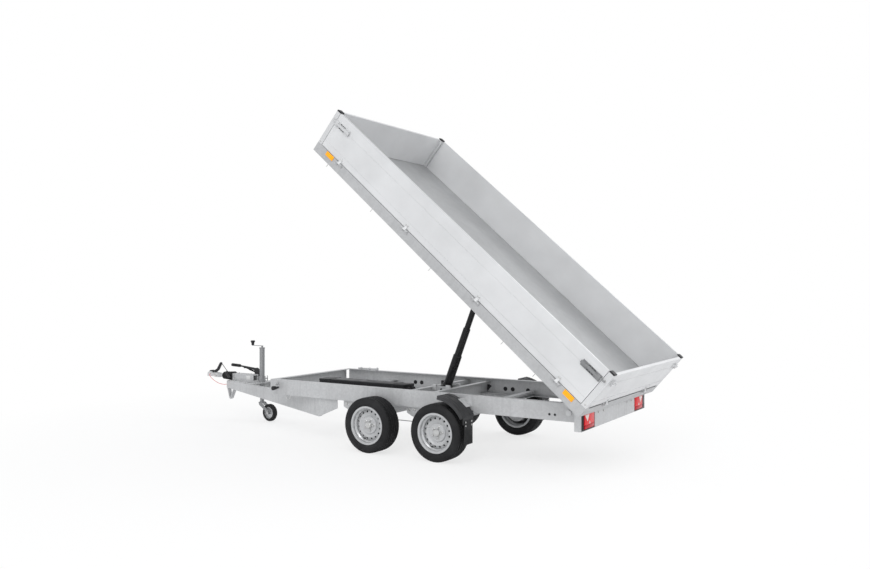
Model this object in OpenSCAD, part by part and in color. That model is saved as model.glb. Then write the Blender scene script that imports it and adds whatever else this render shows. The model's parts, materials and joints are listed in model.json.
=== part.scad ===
// Tandem-axle tipping trailer with an aluminium drop-side bed, shown with its bed raised.
// The row's frame: +X towards the tailboard, +Y the trailer's right, +Z up, ground at z = 0.
// Places along the trailer are measured from the middle between the axles until shifted by mid_x.

/* [Bed] */
// Length of the bed over its corner posts
bed_length = 3642; // [3400:1:3800]
// Width of the bed over its side boards
bed_width = 1887; // [1840:1:1920]
// Height of the steel rail round the bed
rail_h = 97; // [90:1:110]
// Height of the drop boards
board_h = 362; // [300:1:420]
// Thickness of the boards
board_t = 25; // [20:1:30]
// Wall of the bed's folded rails and members
rail_t = 3; // [2:0.5:5]
// Width of the rail's flanges
rail_flange = 50; // [40:1:60]
// Thickness of the floor sheet
floor_t = 3; // [2:0.5:5]
// Length of a corner post along the bed
post_l = 52; // [45:1:60]
// Width of a corner post across the bed
post_w = 55; // [45:1:65]
// Tilt of the raised bed in degrees
tilt = 40.8; // [30:0.1:44]

/* [Tipping gear] */
// Pivot of the bed behind the middle between the axles
pivot_x = 1645; // [1640:1:1650]
// Height of the bed's pivot
pivot_z = 560; // [558:1:562]
// Distance from the pivot back to the bed's rear end
bed_over = 116; // [112:1:122]
// Distance from the pivot up to the underside of the lowered bed
bed_rise = 63; // [62:1:68]
// Radius of the pivot pins
pivot_r = 20; // [16:0.5:22]
// Distance of the pivots outside the side beams' webs
pivot_out = 34; // [30:1:38]
// Place of the cylinder's cradle along the trailer
cradle_x = -40; // [-50:1:-30]
// Height of the cylinder's trunnion
cradle_z = 540; // [535:1:545]
// Height of the cylinder's head pin above the underside of the bed's rail
head_h = 30; // [28:1:34]
// Outer radius of the cylinder's barrel
barrel_r = 52.5; // [51:0.5:56]
// Step of radius from one stage of the cylinder to the next
stage_step = 7.5; // [7:0.1:8]
// Length of the barrel below its trunnion
barrel_drop = 300; // [295:1:310]

/* [Chassis] */
// Clearance between the tyres and the side beams
tyre_gap = 32.5; // [30:0.5:37.5]
// Height of the side beams
beam_h = 155; // [150:1:165]
// Wall of the side beams
beam_t = 4; // [3:0.5:6]
// Width of the side beams' flanges
beam_flange = 60; // [50:1:70]
// Height of the side beams' top over the ground
beam_top = 595; // [590:1:598]
// Distance from the middle between the axles to the front of the beams
frame_front = 1810; // [1780:1:1840]
// Distance from the middle between the axles to the rear of the beams
frame_rear = 1680; // [1678:1:1682]
// Width of the rear lamp panel
panel_w = 1600; // [1560:1:1640]
// Depth of the rear lamp panel along the trailer
panel_d = 62; // [56:1:64]
// Height of the lamp panel's lower edge over the ground
panel_z = 387; // [380:1:395]
// Height of the lamp panel
panel_h = 148; // [140:1:150]

/* [Running gear] */
// Diameter of the tyres
tyre_d = 525; // [520:1:530]
// Width of the tyres
tyre_w = 195; // [185:1:200]
// Diameter of the rims' bead seat
rim_d = 330; // [325:1:335]
// Distance between the axles
axle_gap = 762; // [750:1:780]
// Distance between the middles of the left and right tyres
track = 1600; // [1596:1:1610]
// Number of vent holes in a rim
vents = 16; // [10:1:18]
// Side of the axles' square tubes
axle_tube = 70; // [60:1:80]
// Length of the trailing arms
arm_l = 150; // [140:1:160]

/* [Drawbar] */
// Distance from the middle between the axles to the front of the drawbar plates
bar_front = 3100; // [3080:1:3110]
// Height of the drawbar plates at their front
bar_nose_h = 84; // [70:1:90]
// Depth of the drawbar plates' deep corner below their top edge
bar_deep = 191; // [150:1:200]
// Wall of the drawbar plates
bar_t = 5; // [4:0.5:6]
// Width of the drawbar plates' folded flanges
bar_flange = 45; // [35:1:50]
// Distance of the drawbar plates from the middle at their front
bar_nose_y = 62; // [60:1:66]
// Distance from the middle between the axles to the coupling's nose
nose_x = 3477; // [3470:1:3480]
// Height of the coupling's socket centre
socket_z = 492; // [488:1:496]
// Radius of the coupling's ball socket
socket_r = 25.2; // [25:0.1:26]

/* [Jockey wheel] */
// Place of the jockey tube ahead of the middle between the axles
jockey_x = 2580; // [2560:1:2600]
// Outer radius of the jockey tube
jockey_r = 30; // [28:0.5:32]
// Radius of the jockey leg
leg_r = 24; // [22:0.5:26]
// Height of the jockey tube's top
jockey_top = 842; // [820:1:860]
// Diameter of the jockey wheel
jockey_d = 200; // [190:1:204]
// Width of the jockey wheel
jockey_w = 50; // [44:1:54]
// Distance from the jockey tube back to its wheel's axle
trail = 125; // [110:1:130]

/* [Hidden] */
$fn = 64;

// Clearances
run_gap = 0.05;
slide_gap = 0.3;
panel_gap = 5;

// The row's origin lies halfway between the coupling's nose and the raised tailboard
tail_reach = pivot_x + bed_over * cos(tilt) + (bed_rise + rail_h + board_h) * sin(tilt);
mid_x = (tail_reach - nose_x) / 2;

// Chassis
beam_z = beam_top - beam_h;
bar_top = beam_z;
tyre_r = tyre_d / 2;
wheel_y = track / 2;
web_y = wheel_y - tyre_w / 2 - tyre_gap;
pivot_y = web_y + pivot_out;

// Bed, in its own level frame with the pivot as origin
bed_half = bed_width / 2;
post_top = rail_h + board_h + 2;
hinge_out = 14;
hinge_h = 88;
knuckle_r = 8;
pin_r = 4;
hinge_w = 90;
side_hinges = [for (k = [0.0887, 0.3602, 0.6288, 0.9034]) k * bed_length];
tail_hinges = [for (k = [-1, 1]) k * 0.53 * bed_half];

// Cylinder: the head pin stands straight above the trunnion when the bed is down
head_x = cradle_x - pivot_x;
head_z = bed_rise + head_h;
raised_x = pivot_x + head_x * cos(tilt) + head_z * sin(tilt);
raised_z = pivot_z - head_x * sin(tilt) + head_z * cos(tilt);
lean = atan2(raised_x - cradle_x, raised_z - cradle_z);
reach = norm([raised_x - cradle_x, raised_z - cradle_z]);
reach_down = pivot_z + head_z - cradle_z;
stages = 4;
stroke = (reach - reach_down) / stages;
stage_top_down = 66;
eye_r = 35;
lug_r = 28;
head_pin_r = 10;
// The rod's eye is the linkage's open pivot, so its slot leaves room for the pin's drift
slot_r = 19;
slot_rise = 5;

// Breakaway cable from the coupling to the drawbar's nose
cable_r = 2.5;
cable_route = [[-3409, -41, 505], [-3402, -54, 496], [-3386, -66, 482], [-3362, -72, 465],
    [-3334, -76, 449], [-3305, -78, 435], [-3275, -79, 422], [-3245, -79, 411], [-3215, -78, 402],
    [-3185, -75, 396], [-3158, -71, 392], [-3134, -66, 391], [-3114, -61, 393], [-3100.3, -59, 396]];

// Drawbar plan: from the nose outwards to the bend under the side beams
bend_x = -1170;
bend_y = web_y - 30;
bar_rear = -930;

function bx(s) = bed_over - s;
function bz(h) = bed_rise + h;

module chassis() { translate([-mid_x, 0, 0]) children(); }
module bed() { chassis() translate([pivot_x, 0, pivot_z]) rotate([0, tilt, 0]) children(); }
module bed_at(s, h) { translate([bx(s), 0, bz(h)]) children(); }
module both_sides() { children(); mirror([0, 1, 0]) children(); }
module on_side(side) { if (side < 0) children(); else mirror([0, 1, 0]) children(); }

// A bar along X from x0 to x1 whose section is drawn as (y, z)
module along_x(x0, x1) {
    translate([x0, 0, 0]) rotate([90, 0, 90]) linear_extrude(x1 - x0) children();
}
// A bar along Y from y0 to y1 whose section is drawn as (x, z)
module along_y(y0, y1) {
    translate([0, y1, 0]) rotate([90, 0, 0]) linear_extrude(y1 - y0) children();
}
// A round bar along Y
module rod_y(x, z, y0, y1, r) {
    translate([x, y0, z]) rotate([-90, 0, 0]) cylinder(h = y1 - y0, r = r);
}
// A round bar along X
module rod_x(x0, x1, y, z, r) {
    translate([x0, y, z]) rotate([0, 90, 0]) cylinder(h = x1 - x0, r = r);
}
// A channel whose web stands at x = 0 and whose flanges point to +X
module channel(w, h, t) {
    difference() {
        square([w, h]);
        translate([t, t]) square([w, h - 2 * t]);
    }
}
// A sheet of even thickness t that follows the points of an outline
module band(points, t) {
    polygon(concat(points, [for (i = [len(points) - 1:-1:0]) [points[i][0], points[i][1] - t]]));
}

// A tube swept along points, closed at both ends
function unit(v) = v / norm(v);
function route_dir(p, i) = unit(p[min(i + 1, len(p) - 1)] - p[max(i - 1, 0)]);
function ring_points(c, d, r, n) =
    let (u = unit(cross(d, abs(d[2]) > 0.9 ? [1, 0, 0] : [0, 0, 1])), v = cross(d, u))
    [for (k = [0:n - 1]) c + r * (cos(360 * k / n) * u + sin(360 * k / n) * v)];
module swept_tube(p, r, n) {
    m = len(p);
    polyhedron(
        points = [for (i = [0:m - 1]) each ring_points(p[i], route_dir(p, i), r, n)],
        faces = concat(
            [[for (k = [n - 1:-1:0]) k]],
            [for (i = [0:m - 2], k = [0:n - 1])
                [i * n + k, i * n + (k + 1) % n, (i + 1) * n + (k + 1) % n, (i + 1) * n + k]],
            [[for (k = [0:n - 1]) (m - 1) * n + k]]));
}

// Chassis

module side_beam(side) {
    color("silver") chassis() on_side(side) difference() {
        union() {
            along_x(-frame_front, frame_rear)
                translate([-web_y, beam_z]) channel(beam_flange, beam_h, beam_t);
            // Pivot pins for the bed, at the rear and at the front lock
            for (x = [pivot_x, bed_lock_x])
                rod_y(x, pivot_z, -pivot_y - 14, -web_y + beam_t, pivot_r - 4 - run_gap);
            rod_y(pivot_x, pivot_z, -pivot_y - 10, -web_y + 1, pivot_r - run_gap);
        }
        // Drain and cable holes along the web
        for (x = side < 0 ? [1400, 1451] : cable_holes)
            rod_y(x, beam_z + 50, -web_y - 1, -web_y + beam_t + 1, side < 0 ? 6 : cable_hole_r);
    }
}
bed_lock_x = -1700;
cable_holes = [-858, -774, 285, 372, 549];
cable_hole_r = 17;

module front_crossbeam() {
    half = web_y - beam_flange;
    color("silver") chassis() along_y(-half, half)
        translate([-frame_front, beam_z]) channel(beam_flange, beam_h, beam_t);
}

// Cross members between the beams and the two bearers of the cylinder's cradle
member_x = [-1150, -450, 600, 1200];
member_h = 56;
cradle_gap = 105;
bearer_y = 86;
module cradle_members() {
    inner = web_y - beam_t;
    color("silver") chassis() {
        difference() {
            union() {
                for (x = member_x)
                    along_y(-inner, inner) translate([x, beam_z + beam_t]) channel(50, member_h, beam_t);
                along_y(-inner, inner)
                    translate([cradle_x - cradle_gap, beam_z + beam_t]) mirror([1, 0]) channel(50, 120, beam_t);
                along_y(-inner, inner)
                    translate([cradle_x + cradle_gap, beam_z + beam_t]) channel(50, 120, beam_t);
                for (y = [-bearer_y - 12, bearer_y])
                    along_y(y, y + 12) translate([cradle_x - cradle_gap, beam_z + beam_t])
                        square([2 * cradle_gap, 130]);
            }
            rod_y(cradle_x, cradle_z, -bearer_y - 20, bearer_y + 20, 14 + run_gap);
        }
    }
}

module rear_lamp_panel() {
    color("silver") chassis() difference() {
        union() {
            along_y(-panel_w / 2, panel_w / 2)
                translate([frame_rear, panel_z]) channel(panel_d, panel_h, rail_t);
            for (y = [-panel_w / 2, panel_w / 2 - rail_t])
                translate([frame_rear, y, panel_z]) cube([panel_d, rail_t, panel_h]);
            // The middle stretch of the panel stands flush with its rear face
            translate([frame_rear + panel_d - rail_t, -lamp_y + lamp_w / 2 + 12, panel_z])
                cube([rail_t, 2 * lamp_y - lamp_w - 24, panel_h]);
        }
        // Slots in the lower flange let water out
        for (y = [-300, 0, 300])
            translate([frame_rear + 20, y - 40, panel_z - 1]) cube([12, 80, rail_t + 2]);
    }
}
lamp_w = 250;
lamp_y = panel_w / 2 - lamp_w / 2 - 35;
lamp_h = 130;

module lamp(side) {
    color("firebrick") chassis() on_side(side)
        translate([frame_rear + rail_t, -lamp_y - lamp_w / 2, panel_z + (panel_h - lamp_h) / 2])
        difference() {
            cube([panel_d - 8, lamp_w, lamp_h]);
            translate([panel_d - 14, 8, 8]) difference() {
                cube([10, lamp_w - 16, lamp_h - 16]);
                translate([-1, 6, 6]) cube([12, lamp_w - 28, lamp_h - 28]);
            }
        }
}

// Drawbar

// A folded plate: its plan, widened to the given width, cut to its side view
bar_end_h = 90;
module drawbar_plan(width, rear) {
    linear_extrude(bar_deep + 1) polygon([[-bar_front, -bar_nose_y], [bend_x, -bend_y],
        [rear, -bend_y], [rear, -bend_y + width], [bend_x, -bend_y + width],
        [-bar_front, -bar_nose_y + width]]);
}
module drawbar_plate(side) {
    wide = web_y;
    color("silver") chassis() on_side(side) translate([0, 0, bar_top]) {
        intersection() {
            translate([0, 0, -bar_deep - 1]) drawbar_plan(bar_t, bar_rear);
            along_y(-wide, 0) polygon([[-bar_front, 0], [bar_rear, 0], [bar_rear, -bar_end_h],
                [bend_x, -bar_deep], [-bar_front, -bar_nose_h]]);
        }
        intersection() {
            translate([0, 0, -bar_deep - 1]) drawbar_plan(bar_flange, bar_rear);
            along_y(-wide, 0) union() {
                translate([-bar_front, -bar_t]) square([bar_rear + bar_front, bar_t]);
                polygon([[-bar_front, -bar_nose_h], [-bar_front, -bar_nose_h + bar_t],
                    [bend_x, -bar_deep + bar_t], [bend_x, -bar_deep]]);
            }
        }
    }
}

// The head ties the two plates together, carries the skid and clamps the jockey tube
bar_slope = (bar_deep - bar_nose_h) / norm([bend_x + bar_front, bend_y - bar_nose_y]);
function bar_low(x) = bar_top - bar_nose_h - (x + bar_front) * bar_slope * 1.05;
module drawbar_head() {
    seat = 0.3;
    color("silver") chassis() {
        translate([-bar_front + 6, -bar_nose_y + bar_t, bar_top - bar_nose_h + bar_t + 1])
            cube([8, 2 * (bar_nose_y - bar_t), bar_nose_h - 2 * bar_t - 1]);
        // Plate across both drawbar plates for the jockey tube
        translate([-jockey_x - 50, -jockey_plate_y, bar_top]) difference() {
            cube([100, 2 * jockey_plate_y, 8]);
            translate([50, jockey_plate_y, -1]) cylinder(h = 10, r = jockey_r + seat);
        }
        // Skid below the nose
        along_y(-22, 22) translate([-bar_front, 0]) difference() {
            polygon([[-38, bar_low(-bar_front)], [0, bar_low(-bar_front)],
                [skid_l, bar_low(skid_l - bar_front)], [30, skid_z + 10], [16, skid_z], [2, skid_z + 10]]);
            polygon([[-12, bar_low(-bar_front) - 14], [skid_l - 24, bar_low(-bar_front) - 18],
                [22, skid_z + 25], [10, skid_z + 25]]);
        }
    }
}
jockey_plate_y = 215;
skid_l = 90;
skid_z = 215;

housing_w = 92;
housing_h = 82;
housing_base = 8;
housing_front = 3020;
housing_rear = 2684;
module overrun_housing() {
    z0 = bar_top + housing_base;
    color("gainsboro") chassis() difference() {
        union() {
            // Foot bolted across the two drawbar plates
            translate([0, 0, bar_top]) linear_extrude(housing_base)
                polygon([[-housing_front, -84], [-housing_rear, -180], [-housing_rear, 180],
                    [-housing_front, 84]]);
            translate([-housing_front, -housing_w / 2, z0])
                cube([housing_front - housing_rear, housing_w, housing_h]);
            // Relay lever down to the brake rod
            translate([-housing_rear - 14, rod_side - 4, rod_z]) cube([10, 8, bar_top - rod_z + 1]);
            // Drawbar shaft running forward to the coupling
            rod_x(-nose_x + 190, -housing_front + 1, 0, socket_z, 22);
        }
        translate([-housing_front + 40, -housing_w / 2 + 12, z0 + 12])
            cube([housing_front - housing_rear - 39, housing_w - 24, housing_h - 24]);
    }
}

module gaiter() {
    x0 = -housing_front - 190;
    folds = 7;
    pitch = 190 / folds;
    color("dimgray") chassis() translate([x0, 0, socket_z]) rotate([0, 90, 0])
        rotate_extrude() polygon(concat(
            [[22 + slide_gap, 0]],
            [for (i = [0:folds - 1]) each [[30 + i * 2, i * pitch], [44 + i * 2, (i + 0.5) * pitch]]],
            [[32 + folds * 2, 190], [22 + slide_gap, 190]]));
}

module coupling_head() {
    ball_x = -nose_x + 46;
    color("gainsboro") chassis() difference() {
        union() {
            translate([ball_x, 0, socket_z - 20]) cylinder(h = 40, r = 46);
            translate([ball_x, 0, socket_z + 20]) cylinder(h = 18, r1 = 46, r2 = 26);
            translate([ball_x, -32, socket_z - 18]) cube([144, 64, 42]);
            rod_x(ball_x + 70, -nose_x + 190, 0, socket_z, 30);
            rod_x(ball_x + 100, -nose_x + 215, 0, socket_z, 27);
        }
        translate([ball_x, 0, socket_z]) sphere(r = socket_r);
        translate([ball_x, 0, socket_z - 21]) cylinder(h = 21, r = socket_r);
        rod_x(-nose_x + 190, -nose_x + 230, 0, socket_z, 22);
    }
}

module coupling_handle() {
    color("dimgray") chassis() translate([-nose_x + 130, 0, socket_z + 30.3])
        along_y(-14, 14) polygon([[-100, 8], [-56, 8], [-32, 0], [4, 0], [46, 30], [78, 82],
            [96, 114], [82, 124], [58, 92], [26, 45], [-20, 20], [-62, 24], [-98, 18]]);
}

module handbrake_lever() {
    lever_y = housing_w / 2 + 8;
    lever_x = -housing_rear - 30;
    lever_z = bar_top + housing_base + housing_h + 34;
    grip_x = -3000;
    grip_z = 614;
    color("dimgray") chassis() {
        // Quadrant on the housing's side, lever and grip
        along_y(lever_y - 7.7, lever_y + 6) union() {
            translate([lever_x, lever_z]) circle(r = 40);
            translate([lever_x - 34, bar_top + housing_base + 10]) square([68, 110]);
        }
        along_y(lever_y - 5, lever_y + 5) polygon([[lever_x - 30, lever_z + 8],
            [lever_x - 20, lever_z + 36], [grip_x, grip_z + 8], [grip_x, grip_z - 8]]);
        translate([grip_x + 10, lever_y, grip_z]) rotate([0, -88, 0])
            cylinder(h = 135, r1 = 12, r2 = 16);
    }
}

module breakaway_cable() {
    color("red") chassis() swept_tube(cable_route, cable_r, 8);
}

module jockey_tube() {
    color("silver") chassis() translate([-jockey_x, 0, 0]) {
        difference() {
            translate([0, 0, bar_top - 60]) cylinder(h = jockey_top - bar_top + 60, r = jockey_r);
            translate([0, 0, bar_top - 61]) cylinder(h = jockey_top - bar_top - 20, r = leg_r + slide_gap);
        }
        cylinder_cap = 12;
        translate([0, 0, jockey_top]) cylinder(h = cylinder_cap, r = jockey_r + 3);
        translate([0, 0, jockey_top + cylinder_cap]) cylinder(h = 22, r = 11);
        translate([-150, -9, jockey_top + 28]) cube([160, 18, 6]);
        translate([-150, 0, jockey_top + 34]) cylinder(h = 50, r1 = 13, r2 = 20);
        // Clamp with its handle
        translate([0, 0, bar_top + 8.3]) difference() {
            cylinder(h = 70, r = jockey_r + 9);
            translate([0, 0, -1]) cylinder(h = 72, r = jockey_r - 1);
        }
        rod_y(0, bar_top + 45, jockey_r + 8, jockey_r + 60, 7);
    }
}

module jockey_leg() {
    color("silver") chassis() translate([-jockey_x, 0, 0])
        translate([0, 0, fork_top + 6]) cylinder(h = jockey_leg_top - fork_top - 6, r = leg_r);
}
fork_top = 216;
jockey_leg_top = 640;

module jockey_fork() {
    hub_z = jockey_d / 2;
    color("silver") chassis() translate([-jockey_x, 0, 0]) difference() {
        union() {
            translate([0, 0, fork_top - 14]) cylinder(h = 19.7, r = leg_r + 4);
            for (y = [-jockey_w / 2 - 12, jockey_w / 2 + 6]) {
                along_y(y, y + 6) polygon([[-22, fork_top], [22, fork_top], [trail + 20, hub_z + 8],
                    [trail + 12, hub_z - 16], [trail - 14, hub_z - 14], [trail - 20, hub_z + 4],
                    [-14, fork_top - 30]]);
            }
            translate([-22, -jockey_w / 2 - 12, fork_top - 12]) cube([44, jockey_w + 24, 12]);
            rod_y(trail, hub_z, -jockey_w / 2 - 18, jockey_w / 2 + 18, 8);
        }
    }
}

module jockey_wheel_part(profile_r0, profile_r1, w) {
    chassis() translate([-jockey_x + trail, 0, jockey_d / 2]) rotate([90, 0, 0])
        rotate_extrude() polygon([[profile_r0, -w / 2], [profile_r1 - 9, -w / 2],
            [profile_r1, -w / 2 + 12], [profile_r1, w / 2 - 12], [profile_r1 - 9, w / 2],
            [profile_r0, w / 2]]);
}
module jockey_rim() {
    hub_r = 8 + run_gap;
    color("gainsboro") chassis() translate([-jockey_x + trail, 0, jockey_d / 2]) rotate([90, 0, 0])
        rotate_extrude() polygon([[hub_r, -24], [20, -24], [20, -6], [56, -6], [62, -22], [66, -22],
            [66, 22], [62, 22], [56, 6], [20, 6], [20, 24], [hub_r, 24]]);
}
module jockey_tyre() { color("dimgray") jockey_wheel_part(66, jockey_d / 2, jockey_w); }

// Running gear

axles = [-axle_gap / 2, axle_gap / 2];
arm_y = web_y - 12;
arm_w = 26;
spindle_r = 16;
module axle(x) {
    tube_x = x - arm_l;
    color("darkgray") chassis() {
        translate([tube_x, 0, tube_z]) rotate([90, 45, 0])
            cube([axle_tube, axle_tube, 2 * (arm_y + 8)], center = true);
        both_sides() {
            rod_y(tube_x, tube_z, -arm_y - arm_w - 1, -arm_y + 6, axle_tube / 2 + 5);
            rod_y(x, tyre_r, -arm_y - arm_w - 3, -arm_y + 2, 32);
            translate([tube_x, -arm_y - arm_w, tube_z])
                rotate([0, atan2(tube_z - tyre_r, arm_l), 0])
                translate([0, 0, -25]) cube([norm([arm_l, tube_z - tyre_r]), arm_w, 50]);
            rod_y(x, tyre_r, -wheel_y - 20, -arm_y - 6, spindle_r - run_gap);
        }
    }
}

// Length of an axle's bracket ahead of its tube
bracket_fore = 310;
module axle_brackets() {
    color("silver") chassis() both_sides()
        for (x = axles) difference() {
            along_y(-web_y + 20, -web_y + 28) translate([x - arm_l, 0])
                polygon([[-bracket_fore, beam_z], [130, beam_z], [60, tube_z - 26],
                    [-60, tube_z - 26], [-bracket_fore + 60, beam_z - 90], [-bracket_fore, beam_z - 60]]);
            translate([x - arm_l, -web_y + 24, tube_z]) rotate([90, 45, 0])
                cube([axle_tube + 1, axle_tube + 1, 20], center = true);
        }
}

// Wheels: local Z is the axle, pointing outwards, with the tyre's middle at z = 0
module at_wheel(x, side) {
    chassis() translate([x, side * wheel_y, tyre_r]) rotate([side < 0 ? 90 : -90, 0, 0]) children();
}
module tyre(x, side) {
    seat_r = rim_d / 2;
    half = tyre_w / 2;
    groove = 7;
    color("dimgray") at_wheel(x, side) rotate_extrude($fn = 96) difference() {
        polygon([[seat_r, -half + 20], [seat_r + 17.5, -half + 15], [seat_r + 22, -half + 6],
            [seat_r + 30, -half + 1], [seat_r + 48, -half], [tyre_r - 26, -half + 4], [tyre_r - 10, -half + 14],
            [tyre_r - 3, -half + 26], [tyre_r, -half + 44], [tyre_r, half - 44],
            [tyre_r - 3, half - 26], [tyre_r - 10, half - 14], [tyre_r - 26, half - 4],
            [seat_r + 48, half], [seat_r + 30, half - 1], [seat_r + 22, half - 6],
            [seat_r + 17.5, half - 15], [seat_r, half - 20]]);
        for (z = [-51, -17, 17, 51])
            translate([tyre_r - 7, z - groove / 2]) square([20, groove]);
    }
}
module rim(x, side) {
    seat_r = rim_d / 2;
    half = tyre_w / 2;
    t = 4;
    color("gainsboro") at_wheel(x, side) difference() {
        union() {
            rotate_extrude($fn = 96) {
                polygon([[seat_r + 17, half - 10], [seat_r + 17, half - 14], [seat_r + 3, half - 14],
                    [seat_r - 0.3, half - 18], [seat_r - 2, half - 40], [seat_r - 14, half - 52],
                    [seat_r - 14, -half + 70], [seat_r - 2, -half + 50], [seat_r - 0.3, -half + 18],
                    [seat_r + 3, -half + 14], [seat_r + 17, -half + 14], [seat_r + 17, -half + 10],
                    [seat_r - 1, -half + 10], [seat_r - 5, -half + 20], [seat_r - 6, -half + 48],
                    [seat_r - 18, -half + 68], [seat_r - 18, half - 50], [seat_r - 6, half - 38],
                    [seat_r - 5, half - 18], [seat_r - 1, half - 10]]);
                band([[seat_r - 15, 22], [seat_r - 22, 32], [118, 42], [100, 34], [86, 30], [80, 42],
                    [30, 44]], t + 1);
                polygon([[spindle_r, 43], [spindle_r, -74], [114, -74], [118, -68], [118, -24],
                    [60, -20], [60, 40], [31, 41.5], [31, 62], [26, 68], [0, 68], [0, 43]]);
            }
            for (i = [0:4]) rotate(72 * i) translate([48, 0, 38]) cylinder(h = 18, r = 10, $fn = 6);
        }
        for (i = [0:vents - 1]) rotate(360 * (i + 0.5) / vents)
            translate([seat_r - 37, 0, 24]) cylinder(h = 24, r = 9.5);
    }
}

guard_r = tyre_r + 76;
guard_w = 205;
roll_r = 10;
flap_x = axles[1] + guard_r * cos(28);
flap_w = 140;
flap_h = 210;
flap_top = tyre_r + 131.5;
module mudguard(side) {
    x = axles[1];
    color("dimgray") chassis() on_side(side) {
        translate([x, -wheel_y + guard_w / 2, tyre_r]) rotate([90, 0, 0])
            rotate_extrude(angle = 56, start = 28, $fn = 96) difference() {
                translate([guard_r - 26, 0]) square([30, guard_w]);
                translate([guard_r - 27, 22]) square([27, guard_w - 26]);
                translate([guard_r - 27, -1]) square([13, guard_w - 3]);
            }
        // Rolled outer edge
        translate([x, -wheel_y - guard_w / 2 + roll_r, tyre_r]) rotate([90, 0, 0])
            rotate_extrude(angle = 56, start = 28, $fn = 96)
            translate([guard_r - 22, 2]) circle(r = roll_r, $fn = 24);
        translate([flap_x, -wheel_y - guard_w / 2 + 4, flap_top - 29]) cube([4, guard_w - 24, 68]);
        // Stays to the side beam
        for (a = [36, 78])
            rod_y(x + guard_r * cos(a) - 8, tyre_r + guard_r * sin(a) - 8, -wheel_y + guard_w / 2 - 6, -web_y, 9);
    }
}
module mudflap(side) {
    color("black") chassis() on_side(side)
        translate([flap_x + 4.3, -wheel_y - 80, flap_top - flap_h]) cube([5, flap_w, flap_h]);
}

box_l = 1080;
box_w = 170;
box_h = 106;
box_rear = cradle_x - 220;
box_y = web_y - 240;
module pump_box() {
    box_z = beam_z + beam_t + member_h + 0.3;
    color("dimgray") chassis() {
        translate([box_rear - box_l, -box_y, box_z]) cube([box_l, box_w, box_h]);
        for (y = [40, box_w - 50]) rod_x(box_rear, box_rear + 38, y - box_y, box_z + box_h - 48, 24);
    }
}

rod_side = 100;
tube_z = tyre_r + 66;
rod_z = tube_z + axle_tube * sqrt(0.5) + 5.3;
module brake_rods() {
    low_z = tyre_r + 22;
    rod_r = 4;
    corner = axle_tube * sqrt(0.5) - (tube_z - low_z) + rod_r + 0.3;
    color("silver") chassis() {
        rod_x(-housing_rear - 4, axles[1] - arm_l, rod_side, rod_z, rod_r + 1);
        for (y = [-1, 1]) rod_x(axles[0] - arm_l + corner, axles[1] - arm_l - corner,
            y * (web_y - 110), low_z, rod_r);
    }
}

module lock_pin(side) {
    color("dimgray") chassis() on_side(side) {
        rod_y(bed_lock_x, pivot_z - 48, -pivot_y - 4, -web_y, 10);
        rod_y(bed_lock_x, pivot_z - 48, -pivot_y - 30, -pivot_y - 4, 17);
    }
}

// Cylinder: local Z runs up its axis from the trunnion

module at_cylinder() { chassis() translate([cradle_x, 0, cradle_z]) rotate([0, lean, 0]) children(); }
function stage_r(i) = barrel_r - 1 - i * stage_step;
function stage_top(i) = stage_top_down + i * stroke;
stage_l = stage_top_down + barrel_drop - 20;

module cylinder_barrel() {
    color("dimgray") at_cylinder() difference() {
        union() {
            translate([0, 0, -barrel_drop]) cylinder(h = barrel_drop + 40, r = barrel_r);
            translate([0, 0, -22]) cylinder(h = 44, r = barrel_r + 14);
            rod_y(0, 0, -bearer_y - 12, bearer_y + 12, 14);
        }
        translate([0, 0, -barrel_drop + 12]) cylinder(h = barrel_drop + 80, r = stage_r(1) + slide_gap);
    }
}
// One hollow stage with its gland collar on top
module cylinder_stage(i) {
    color("dimgray") at_cylinder() translate([0, 0, stage_top(i) - stage_l]) difference() {
        cylinder(h = stage_l, r = stage_r(i));
        translate([0, 0, -1]) cylinder(h = stage_l + 2, r = stage_r(i + 1) + slide_gap);
    }
}
module cylinder_rod() {
    through = stage_r(stages) + 2;
    color("dimgray") at_cylinder() difference() {
        union() {
            translate([0, 0, stage_top(stages) - stage_l]) cylinder(h = reach - stage_top(stages) + stage_l, r = stage_r(stages));
            rod_y(0, reach, -20, 20, eye_r);
        }
        for (z = [0, slot_rise]) rod_y(0, reach + z, -through, through, slot_r);
        translate([-slot_r, -through, reach]) cube([2 * slot_r, 2 * through, slot_rise]);
    }
}

// Bed: everything below is drawn level, with the pivot as origin

head_s = bed_over - head_x;
cross_s = [for (k = [0.115, 0.247, 0.379, 0.645, 0.777, 0.892]) k * bed_length];
long_y = 372;
module bed_frame() {
    long_w = 45;
    color("silver") bed() difference() {
        union() {
            both_sides() {
                // Outer rail, open towards the middle
                along_x(bx(bed_length), bx(0))
                    translate([-bed_half, bz(0)]) channel(rail_flange, rail_h, rail_t);
                // Main member over the chassis
                along_x(bx(bed_length - 40), bx(40))
                    translate([-long_y, bz(0)]) channel(long_w, rail_h - rail_t, rail_t);
            }
            for (s = [rail_flange, bed_length]) along_y(-bed_half, bed_half)
                translate([bx(s), bz(0)])
                    if (s == bed_length) channel(rail_flange, rail_h, rail_t);
                    else translate([rail_flange, 0]) mirror([1, 0]) channel(rail_flange, rail_h, rail_t);
            for (s = concat(cross_s, [head_s - 71, head_s + 71])) along_y(-bed_half + rail_t, bed_half - rail_t)
                translate([bx(s) - 20, bz(rail_h - 60)]) channel(40, 60, rail_t);
            pivot_brackets();
            head_lugs();
            for (s = side_hinges) both_sides() side_hinge_fixed(s);
            for (y = tail_hinges) tail_hinge_fixed(y);
        }
    }
}
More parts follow.
